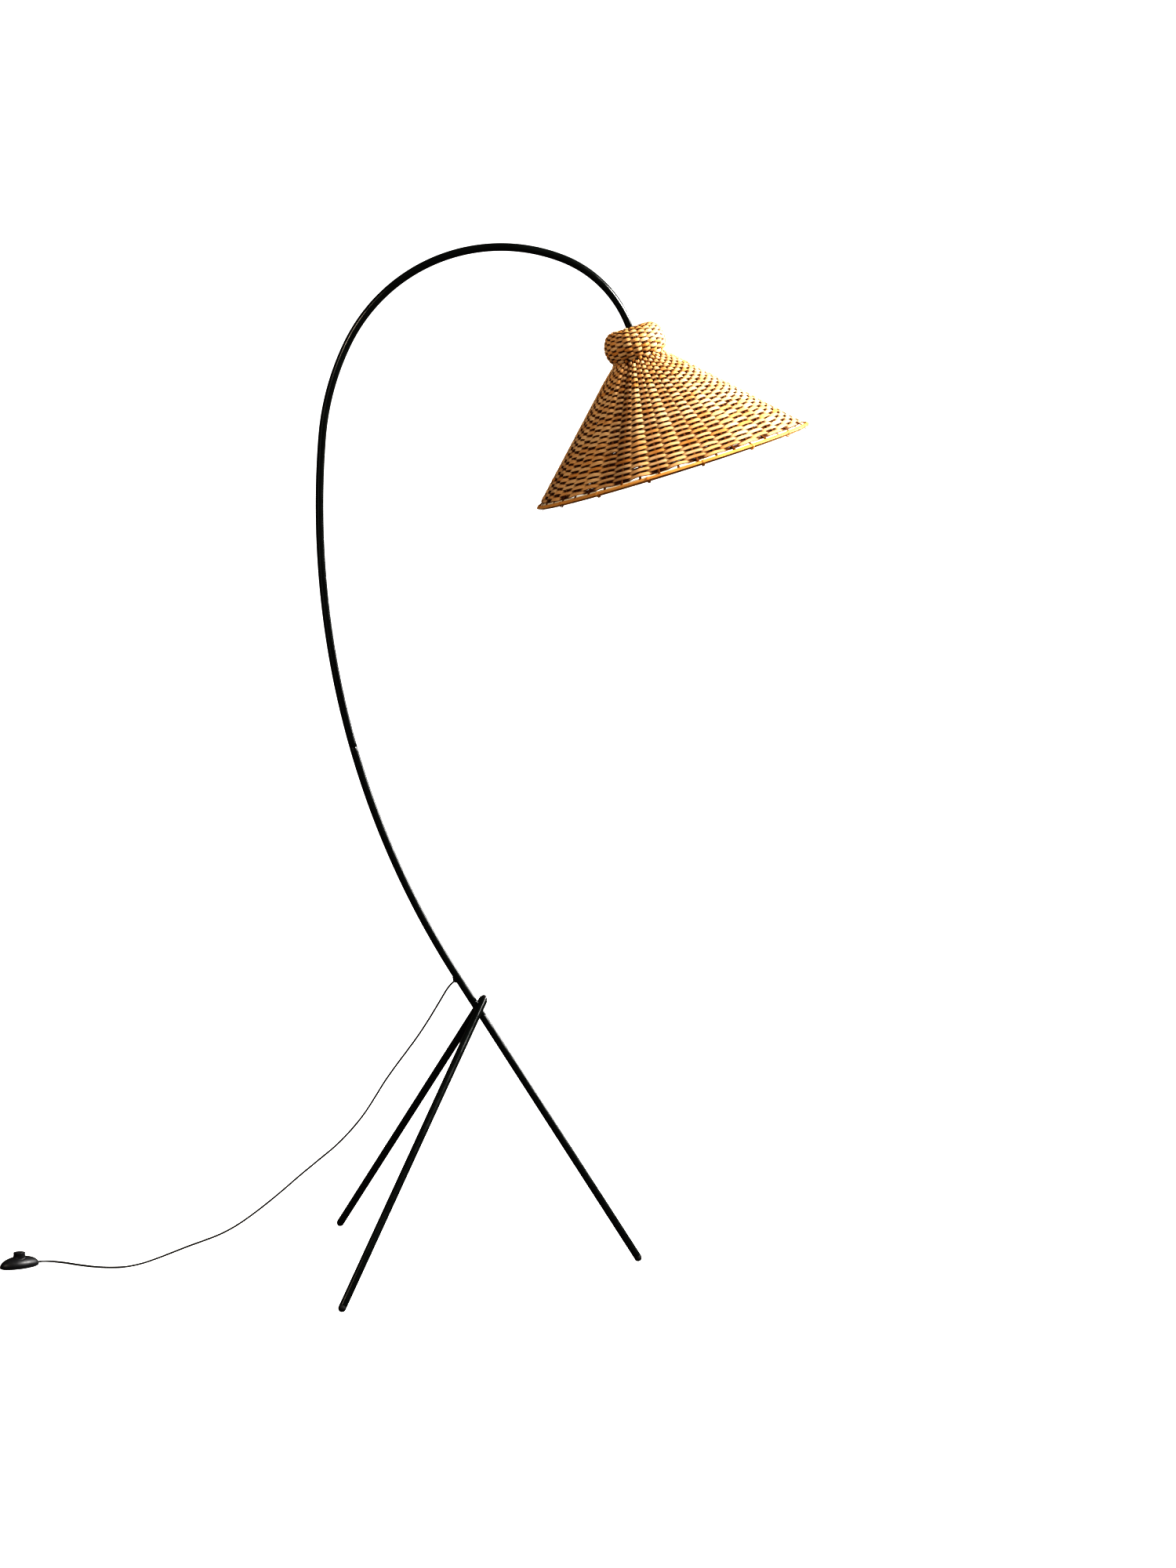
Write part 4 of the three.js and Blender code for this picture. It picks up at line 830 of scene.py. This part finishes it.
# A high deep mark darkens the stakes further: painted shade.
stakes = shell(in_head(points), tone=seed.uniform(0.2, 0.9, stake_count), deep=np.full(stake_count, 0.7))
piece("stakes", [stakes], stake_painted_shade_finish, ["shade_weave"], sharp=60)

# Rim hoops: two flat cane bands, bent round the edge outside and inside the stakes, and lashed
# together with thin cane at 16 places. A straight strip of pale straw lies above them.
hoop_high = 0.0056
lashing_width = 0.0042
lashing_thickness = 0.0007
lashing_count = 16
lashing_turn = 0.28
strip_near = -0.0021
strip_far = -0.0013
strip_low = hoop_high + 0.0006
strip_high = hoop_high + 0.0058
hoop_finish = cane("hoop_cane", (0.86, 0.50, 0.17, 1.0), (0.64, 0.29, 0.07, 1.0))
hoop_angle = circle(240)[:, None]


def round_rim(outline, angle):
    """Outline points, along and out from the shade's edge, carried round the shade to each angle."""
    flat = np.array([shell_rim, -cone_height]) + outline[..., :1] * slope + outline[..., 1:] * level
    spread = np.broadcast_arrays(flat[..., 0] * np.cos(angle), flat[..., 0] * np.sin(angle), flat[..., 1])
    return in_head(np.stack(spread, -1))


def hoop_shell(near, far, low, high, reach, tone, deep):
    """A flat band round the shade. Near and far are distances out from the wall's face at the rim, and
    low and high are distances up the wall from its edge."""
    corner = eased([[low, near], [low, far], [high, far], [high, near]], reach, closed=True)
    return shell(round_rim(corner[None], hoop_angle), wrap=True, tone=tone, deep=deep)


inner_near, inner_far = -shade_wall - gap - hoop_thickness, -shade_wall - gap
inner_hoop = hoop_shell(inner_near, inner_far, 0.0022, hoop_high, 0.0009, 0.5, 0.1)
outer_hoop = hoop_shell(gap, gap + hoop_thickness, 0.0, hoop_high, 0.0009, 0.5, 0.1)
piece("rim_band_inner", [inner_hoop], hoop_finish, ["rim_hoop_inner"])
near, far = inner_near - lashing_thickness / 2, gap + hoop_thickness + lashing_thickness / 2
low, high = -lashing_thickness / 2, hoop_high + lashing_thickness / 2
loop = eased([[low, near], [low, far], [high, far], [high, near]], 0.0012, steps=4, closed=True)
loop_out = unit(loop - [(low + high) / 2, (near + far) / 2])
across = strip_section(8, 0.8)
outline_points = loop[:, None] + lashing_thickness * across[None, :, 1:] * loop_out[:, None]
lashed = (np.arange(lashing_count) + lashing_turn) * 2 * np.pi / lashing_count
lashed = lashed + seed.uniform(-0.006, 0.006, len(lashed))
slant = seed.uniform(-0.3, 0.3, (len(lashed), 1)) * (loop[:, 1] - (near + far) / 2)
place = lashed[:, None, None] + (slant[..., None] + lashing_width * across[None, None, :, 0]) / rim_radius
lashings = shell(round_rim(outline_points[None], place), wrap=True,
                 tone=seed.uniform(0.2, 0.9, lashing_count), deep=np.full(lashing_count, 0.15))
piece("rim_band_outer", [outer_hoop, lashings], hoop_finish, ["rim_hoop_outer"])
strip_finish = cane("straw_strip", (0.93, 0.86, 0.70, 1.0), (0.90, 0.74, 0.50, 1.0))
strip = hoop_shell(strip_near, strip_far, strip_low, strip_high, 0.0003, 0.2, 0.0)
piece("weavers_straw_strip", [strip], strip_finish, ["shade_weave"])

# Carrier: a ring of plate that the lampholder clamps, and three spokes that are welded to it and to a
# wire ring against the inside of the shade's waist. It is steel, coloured a dull, dark zinc as painted
# shade where the ring shows through the waist.
carrier_inner = 0.020
carrier_outer = 0.024
carrier_thickness = 0.002
carrier_wire = 0.0015
carrier_ring = 0.03896
carrier_height = -0.0008
spoke_radius = 0.0009
spoke_count = 3
wire = carrier_wire * toward(circle(16)) + [carrier_ring, carrier_height]
half = carrier_thickness / 2
plate = [[carrier_inner, -half], [carrier_outer, -half], [carrier_outer, half], [carrier_inner, half]]
plate = eased(plate, 0.0005, closed=True)
carrier_shells = [shell(turned(profile, neck, head_up, 96), wrap=True) for profile in (wire, plate)]
for turn in np.arange(spoke_count) * 2 * np.pi / spoke_count:
    spoke = in_head([np.cos(turn), np.sin(turn), 0.0]) - neck
    rod = [[spoke_radius, carrier_outer - half], [spoke_radius, carrier_ring]]
    carrier_shells.append(shell(turned(rod, neck, spoke, 20)))
# Painted shade: the carrier's dark colour stands for the shade of the gap at the waist.
painted_shade_zinc = zinc_steel("carrier_zinc_painted_shade", (0.13, 0.12, 0.11, 1.0))
piece("carrier_welded", carrier_shells, painted_shade_zinc, ["shade_carrier"])

# Lampholder: a body with a flange, a cap on a threaded nipple in the arc's end, and a ribbed ring that
# clamps the carrier from below. All three are black moulded plastic.
holder_radius = 0.0192
holder_low = -0.038
flange_low = 0.0013
flange_high = 0.005
flange_radius = 0.022
holder_bore = 0.0147
holder_ledge = -0.0063
holder_inside = 0.0172
holder_top = 0.012
holder_neck = 0.0182
cap_inner = 0.0185
cap_outer = 0.0205
cap_low = 0.0053
cap_skirt = 0.0143
cap_top = 0.0254
ring_inner = 0.0195
ring_outer = 0.026
ring_low = -0.0113
ring_ribs = 30
rib_depth = 0.0007
holder_finish = black_plastic("holder_plastic", (0.014, 0.014, 0.015, 1.0), 0.34)
holder_body = eased([
    [holder_bore, holder_low], [holder_radius, holder_low], [holder_radius, flange_low],
    [flange_radius, flange_low], [flange_radius, flange_high], [holder_neck, flange_high],
    [holder_neck, holder_top], [holder_inside, holder_top], [holder_inside, holder_ledge],
    [holder_bore, holder_ledge],
], 0.0005, closed=True)
holder_cap = eased([
    [cap_inner, cap_low], [cap_outer, cap_low], [cap_outer, cap_skirt], [0.010, cap_top - 0.001],
    [0.008, cap_top], [bore_radius, cap_top], [bore_radius, cap_top - 0.002], [0.009, cap_top - 0.002],
    [cap_inner, cap_skirt],
], 0.0008, closed=True)
holder_ring = eased([
    [ring_inner, ring_low], [ring_outer, ring_low], [ring_outer, -flange_low], [ring_inner, -flange_low],
], 0.0009, closed=True)
for name, profile in (("holder_body", holder_body), ("holder_cap", holder_cap)):
    moulded = shell(turned(profile, neck, head_up, 72), wrap=True)
    piece(f"{name}_moulded", [moulded], holder_finish, [f"lamp{name}"])
rings = turned(holder_ring, neck, head_up, 8 * ring_ribs)
rib = 0.5 - 0.5 * np.cos(np.linspace(0, 2 * np.pi * ring_ribs, 8 * ring_ribs, endpoint=False))
inset = rib_depth * rib * (holder_ring[:, :1] > ring_outer - 0.0005)
axis_point = neck + holder_ring[:, 1, None, None] * head_up
rings = axis_point + (rings - axis_point) * (1 - inset / holder_ring[:, :1])[..., None]
piece("holder_ring_ribbed", [shell(rings, wrap=True)], holder_finish, ["lampholder_ring"])

# Bulb: an opal glass globe with a thin wall, open at its neck, in a steel screw cap.
globe_top = -0.0341
globe_length = 0.088
globe_radius = 0.030
globe_neck = 0.0125
globe_wall = 0.001
globe_from = 33.75
turn = np.radians(np.linspace(globe_from, -87, 22))
globe_centre = globe_top - globe_length + globe_radius
globe_arc = globe_radius * toward(turn) + [0, globe_centre]
globe_outline = np.concatenate([
    [[globe_neck, globe_top], [1.03 * globe_neck, globe_top - 0.008], [1.10 * globe_neck, globe_top - 0.0158],
     [1.62 * globe_neck, globe_top - 0.0317]], globe_arc,
])
globe_outline = smooth_line(globe_outline, count=64)
heading = unit(np.gradient(globe_outline, axis=0))
globe_inside = globe_outline + globe_wall * outward_of(heading)
globe_inside[:, 0] = np.maximum(globe_inside[:, 0], axis_hole)
opal = Finish("opal_glass", (0.93, 0.92, 0.88, 1.0), 0.14)
opal.set("Subsurface Weight", 0.25)
opal.set("Subsurface Radius", (0.004, 0.004, 0.003))
opal.patchy(40, 0.10, 0.2)
globe_rings = turned(np.concatenate([globe_inside[::-1], globe_outline]), neck, head_up, 72)
piece("bulb_globe", [shell(globe_rings)], opal.material, ["bulb_glass"])

# Inside the lampholder and the tube: porcelain insert, brass screw shell, contact and lock nut, steel
# nipple and bulb cap, and the cord's run through the arc. These are the source's own solids.
brass_finish = Finish("plain_brass", (0.78, 0.56, 0.25, 1.0), 0.3, 1.0)
brass_finish.patchy(150, 0.2, 0.45)
brass = brass_finish.material
porcelain_finish = Finish("glazed_porcelain", (0.86, 0.84, 0.79, 1.0), 0.15)
porcelain_finish.patchy(60, 0.10, 0.24)
porcelain = porcelain_finish.material
cord_finish = black_plastic("cord_sheath", (0.012, 0.012, 0.012, 1.0), 0.4, 700)


def finished(name, finish):
    """Gives a solid of the source, which keeps its mesh, a finish on each of its slots."""
    for place in nodes[name].material_slots:
        place.material = finish
    return nodes[name]


for name, finish in (("lampholder_insert", porcelain), ("lampholder_screw_shell", brass),
                     ("lampholder_contact", brass), ("holder_lock_nut", brass), ("holder_nipple", zinc),
                     ("bulb_cap", zinc), ("inner_lead", cord_finish)):
    finished(name, finish)

# Foot switch: an oval dome of matt grey-black plastic on a shallow tray. A collar on top holds the
# push button, which has a small bump to feel with the foot. Contacts, screws and spring are inside.
hub_x = hub[0]
switch_place = np.array([hub_x - 0.751, 0.037, 0.0])
switch_turn = 30
switch_half_length = 0.0335
switch_half_width = 0.017
switch_wall = 0.0018
dome_low = 0.0043
dome_high = 0.0185
dome_power = 1.9
collar_radius = 0.00975
collar_bore = 0.00805
collar_top = 0.0244
collar_blend = 0.0022
pocket_radius = 0.0093
pocket_top = 0.0164
switch_columns = 120
switch_basis = np.array([
    [np.cos(np.radians(switch_turn)), np.sin(np.radians(switch_turn)), 0.0],
    [-np.sin(np.radians(switch_turn)), np.cos(np.radians(switch_turn)), 0.0],
    [0.0, 0.0, 1.0],
])
angle = circle(switch_columns)


def in_switch(points):
    return switch_place + np.asarray(points) @ switch_basis


def oval_reach(inset):
    """The oval's radius in each direction: one over the root of (cos / length)^2 + (sin / width)^2."""
    length, width = switch_half_length - inset, switch_half_width - inset
    return 1 / np.hypot(np.cos(angle) / length, np.sin(angle) / width)


def dome_height(radius, inset):
    """Height of the dome at a radius: it rises as (1 - share^n)^(1/n), from the oval's edge inward."""
    share = np.clip(radius / oval_reach(inset), 0, 1)
    return dome_low + (dome_high - inset - dome_low) * (1 - share ** dome_power) ** (1 / dome_power)


def dome_rings(inset, inmost, steps):
    """Rings from the oval's edge inward, closer together where the dome is steep."""
    last = np.arccos(inmost / oval_reach(inset))
    radius = oval_reach(inset) * np.cos(np.linspace(0, 1, steps)[:, None] * last)
    return radius, dome_height(radius, inset)


outside, outside_height = dome_rings(0.0, collar_radius + collar_blend, 22)
inside, inside_height = dome_rings(switch_wall, pocket_radius, 12)
root = outside_height[-1]
share = np.array([0.25, 0.5, 0.75, 1.0])[:, None]
blend = collar_radius + collar_blend * (1 - share) ** 2
blend_height = root + collar_blend * share ** 2
rise = np.array([0.3, 0.6, 0.86])[:, None]
waist = collar_radius - 0.00025 * np.sin(np.pi * rise) + 0 * root
waist_height = blend_height[-1] + (collar_top - 0.0005 - blend_height[-1]) * rise
lip = np.array([
    [collar_radius, collar_top - 0.0005], [collar_radius - 0.00015, collar_top - 0.00015],
    [collar_radius - 0.0005, collar_top], [collar_bore + 0.0004, collar_top],
    [collar_bore + 0.0001, collar_top - 0.0001], [collar_bore, collar_top - 0.0004],
    [collar_bore, pocket_top], [pocket_radius, pocket_top],
])[:, :, None] + 0 * root
radius = np.concatenate([outside, blend + 0 * root, waist, lip[:, 0], inside[::-1]])
height = np.concatenate([outside_height, blend_height, waist_height, lip[:, 1], inside_height[::-1]])
top_points = in_switch(np.stack([radius * np.cos(angle), radius * np.sin(angle), height], -1))
switch_plastic = black_plastic("switch_plastic", (0.0125, 0.0130, 0.0145, 1.0), 0.42, 1100)
switch_top = piece("switch_dome", [shell(top_points, wrap=True)], switch_plastic,
                   ["switch_top_shell"])

button_radius = 0.00775
button_top = 0.0249
button_dish = 0.0004
button_flange = 0.009
flange_under = 0.0146
flange_over = 0.0161
stem_radius = 0.0026
stem_low = 0.0083
bump_place = 0.0044
bump_radius = 0.0031
bump_height = 0.0011
button_profile = eased([
    [axis_hole, stem_low], [stem_radius, stem_low], [stem_radius, flange_under],
    [button_flange, flange_under], [button_flange, flange_over], [button_radius, flange_over],
    [button_radius, button_top], [0.75 * button_radius, button_top - 0.2 * button_dish],
    [0.4 * button_radius, button_top - 0.8 * button_dish], [axis_hole, button_top - button_dish],
], 0.0006, steps=5)
swell = np.linspace(0, 0.5 * np.pi, 9)
bump_rise = toward(swell)[:-1] * [bump_radius, bump_height]
bump_profile = np.concatenate([[[bump_radius, -0.001]], bump_rise, [[axis_hole, bump_height]]])
bump_centre = in_switch([bump_place, 0.0, button_top - 0.0003])
button_shells = [
    shell(turned(button_profile, switch_place, upright, 72)),
    shell(turned(bump_profile, bump_centre, upright, 32)),
]
button = piece("foot_button", button_shells, switch_plastic, ["switch_button"], "button")
for name, finish in (("switch_bottom_shell", switch_plastic), ("switch_module", porcelain),
                     ("switch_terminal_in", brass), ("switch_terminal_out", brass),
                     ("switch_screw_1", zinc), ("switch_screw_2", zinc)):
    finished(name, finish)

# Button spring: a helix of round steel wire round the button's stem, from the contact block up to the
# flange.
spring_radius = 0.0044
spring_wire = 0.0004
spring_turns = 4
spring_low = 0.0083
turn = np.linspace(0, 2 * np.pi * spring_turns, 24 * spring_turns + 1)
rise = np.linspace(spring_low + spring_wire, flange_under - gap - spring_wire, len(turn))
outward = np.stack([np.cos(turn), np.sin(turn), 0 * turn], -1)
around = circle(10)[None, :, None]
coil = spring_radius * outward + rise[:, None] * upright
wire_section = spring_wire * (np.cos(around) * outward[:, None] + np.sin(around) * upright)
spring = piece("button_spring_coiled", [shell(in_switch(coil[:, None] + wire_section))], zinc,
               ["button_spring"])
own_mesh(spring)

# Plug: a flat moulded body on the floor, with a ribbed sleeve round the cord and two round steel pins.
plug_place = np.array([hub_x - 0.857, -0.0793, 0.0065])
plug_turn = -90
plug_length = 0.033
plug_half_width = 0.0176
plug_half_thickness = 0.0065
plug_body_low = 0.0243
plug_edge = 0.0015
relief_length = 0.024
relief_small = 0.0034
relief_large = 0.0056
relief_ribs = 4
relief_rib = 0.0005
pin_radius = 0.002
pin_length = 0.019
pin_spacing = 0.018
pin_inside = 0.008
plug_axis = np.array([np.cos(np.radians(plug_turn)), np.sin(np.radians(plug_turn)), 0.0])
plug_side = np.cross(upright, plug_axis)
plug_shares = [[0.0, 0.4], [0.25, 0.44], [0.45, 0.52], [0.62, 0.70], [0.76, 0.95], [0.86, 1.0], [1.0, 1.0]]
plug_line = smooth_line(np.array(plug_shares) * [plug_length, plug_half_width], count=40)
round_end = np.array([1.0, 0.55, 0.15])[:, None] * plug_edge
end_step = np.array([[0, 0], [0.0003, 0], [0.001, 0]])
small_end = np.concatenate([0 * round_end, -round_end], 1) + plug_line[0] + end_step
large_end = np.concatenate([0 * round_end, -round_end[::-1]], 1) + plug_line[-1] - end_step[::-1]
middle_line = plug_line[(plug_line[:, 0] > 0.0015) & (plug_line[:, 0] < plug_length - 0.0015)]
plug_line = np.concatenate([small_end, middle_line, large_end])
edge_drop = np.concatenate([round_end[:, 0], np.zeros(len(middle_line)), round_end[::-1, 0]])
section = squared_off(toward(circle(64)), 0.55)
plug_points = (
    plug_place + (plug_body_low + plug_line[:, 0])[:, None, None] * plug_axis
    + plug_line[:, 1, None, None] * section[None, :, :1] * plug_side
    + (plug_half_thickness - edge_drop)[:, None, None] * section[None, :, 1:] * upright
)
plug_finish = black_plastic("plug_body_plastic", (0.014, 0.014, 0.015, 1.0), 0.45)
plug_pieces = [piece("plug_moulded", [shell(plug_points)], plug_finish, ["plug_body"])]
along = np.linspace(0, 1, 8 * relief_ribs + 1)
relief_radius = relief_small + (relief_large - relief_small) * along
relief_radius = relief_radius + relief_rib * np.sin(np.pi * relief_ribs * along) ** 2
relief = np.stack([relief_radius, relief_length * along], 1)
relief = np.concatenate([[[axis_hole, 0.0]], relief, [[axis_hole, relief_length]]])
plug_pieces.append(piece("cord_sleeve_ribbed", [shell(turned(relief, plug_place, plug_axis))], cord_finish,
                         ["plug_strain_relief"]))
pin_from = plug_body_low + plug_length - pin_inside
swell = np.linspace(0, 0.5 * np.pi, 8)
pin_end = pin_inside + pin_length - pin_radius / 2
pin_tip = np.stack([pin_radius * (0.5 + 0.5 * np.cos(swell)), pin_end + pin_radius / 2 * np.sin(swell)], 1)
pin_profile = np.concatenate([[[pin_radius, 0.0]], pin_tip, [[axis_hole, pin_end + pin_radius / 2]]])
for name, sign in (("left", 1), ("right", -1)):
    origin = plug_place + pin_from * plug_axis + sign * pin_spacing / 2 * plug_side
    plug_pieces.append(piece(f"{name}_pin_turned", [shell(turned(pin_profile, origin, plug_axis, 32))], zinc,
                             [f"plug_pin_{name}"]))

# Cords: flat two-core cord, black, 5 by 3 mm. The first stretch hangs from the grommet to the
# floor and lies on it to the foot switch. The rest is coiled beside the switch, out of the view.
lamp_to_switch = [
    (-0.0409, 0, 0.4690), (-0.0450, 0, 0.4653), (-0.0509, 0, 0.4582), (-0.0660, 0, 0.4334),
    (-0.0818, 0, 0.4074), (-0.0986, 0, 0.3818), (-0.1172, 0, 0.3563), (-0.1364, 0, 0.3308),
    (-0.1544, 0, 0.3052), (-0.1704, 0, 0.2796), (-0.1872, 0, 0.2538), (-0.2078, 0, 0.2282),
    (-0.2335, 0, 0.2018), (-0.2646, 0, 0.1760), (-0.2935, 0, 0.1522), (-0.3192, 0, 0.1301),
    (-0.3448, 0, 0.1090), (-0.3704, 0, 0.0894), (-0.3960, 0, 0.0719), (-0.4216, 0, 0.0582),
    (-0.4471, 0, 0.0483), (-0.4726, 0, 0.0394), (-0.4981, 0.001, 0.0295), (-0.5236, 0.004, 0.0192),
    (-0.5492, 0.009, 0.0096), (-0.5750, 0.014, 0.0032), (-0.6006, 0.016, 0.0018), (-0.6266, 0.022, 0.0018),
    (-0.6530, 0.036, 0.0018), (-0.6760, 0.0515, 0.0018), (-0.6950, 0.0605, 0.0021), (-0.7070, 0.0608, 0.0030),
    (-0.7174, 0.0564, 0.0040), (-0.7217, 0.0539, 0.0040),
]
switch_to_coil = [
    (-0.7803, 0.0201, 0.0040), (-0.7846, 0.0176, 0.0040), (-0.7950, 0.0116, 0.0033),
    (-0.8060, 0.0053, 0.0028), (-0.8145, 0.0004, 0.0028),
]
coil_to_plug = [
    (-0.8237, -0.0049, 0.0084), (-0.8280, -0.0074, 0.0084), (-0.8400, -0.0148, 0.0066),
    (-0.8505, -0.0245, 0.0044), (-0.8564, -0.0380, 0.0030), (-0.8574, -0.0520, 0.0034),
    (-0.8570, -0.0650, 0.0054), (-0.8570, -0.0740, 0.0065), (-0.8570, -0.0790, 0.0065),
]
coil_centre = np.array([-0.836, 0.027])
coil_start = -60
coil_radius = 0.0338
coil_turns = 3
coil_pitch = 0.0042
coil_layer = 0.0056
coil_bottom = 0.0028
cord_step = 0.003


def coil_line():
    """The coil's middle: in through three turns on the floor, up in the half turn where it turns
    back, and out through three turns above."""
    turns = np.linspace(0, 2 * coil_turns, 2 * coil_turns * 48 + 1)
    climb = smooth_step(np.clip((turns - coil_turns + 0.25) / 0.5, 0, 1))
    radius = coil_radius - coil_pitch * (coil_turns - np.abs(turns - coil_turns))
    angle = np.radians(coil_start) - 2 * np.pi * turns
    return np.stack([
        coil_centre[0] + radius * np.cos(angle), coil_centre[1] + radius * np.sin(angle),
        coil_bottom + coil_layer * climb,
    ], 1)


def flat_cord(path, roll):
    """Rings of a flat rounded section along a path. The wide side is level where roll is 0 and
    upright where it is a right angle."""
    heading = unit(np.gradient(path, axis=0))
    side = unit(np.cross(heading, upright))
    up = np.cross(side, heading)
    roll = roll[:, None]
    wide = np.cos(roll) * side + np.sin(roll) * up
    thin = np.cross(heading, wide)
    section = squared_off(toward(circle(20)), 0.8) / 2
    return (path[:, None] + cord_width * section[None, :, :1] * wide[:, None]
            + cord_thickness * section[None, :, 1:] * thin[:, None])


shift_x = np.array([hub_x, 0.0, 0.0])
first_path = smooth_line(np.array(lamp_to_switch) + shift_x, step=cord_step)
cord_one = piece("cord_to_switch", [shell(flat_cord(first_path, np.zeros(len(first_path))))], cord_finish,
                 ["cord_lamp_to_switch"])
loose = smooth_line(np.array(switch_to_coil), step=cord_step)
tail = smooth_line(np.array(coil_to_plug), step=cord_step)
coil = coil_line()
second_path = np.concatenate([loose, coil, tail]) + shift_x
turn = 0.5 * np.pi
roll = [np.linspace(0, turn, len(loose)), np.full(len(coil), turn), np.linspace(turn, 0, len(tail))]
roll = np.concatenate(roll)
cord_two = piece("cord_to_plug", [shell(flat_cord(second_path, roll))], cord_finish,
                 ["cord_switch_to_coil", "cord_coil", "cord_coil_to_plug"])
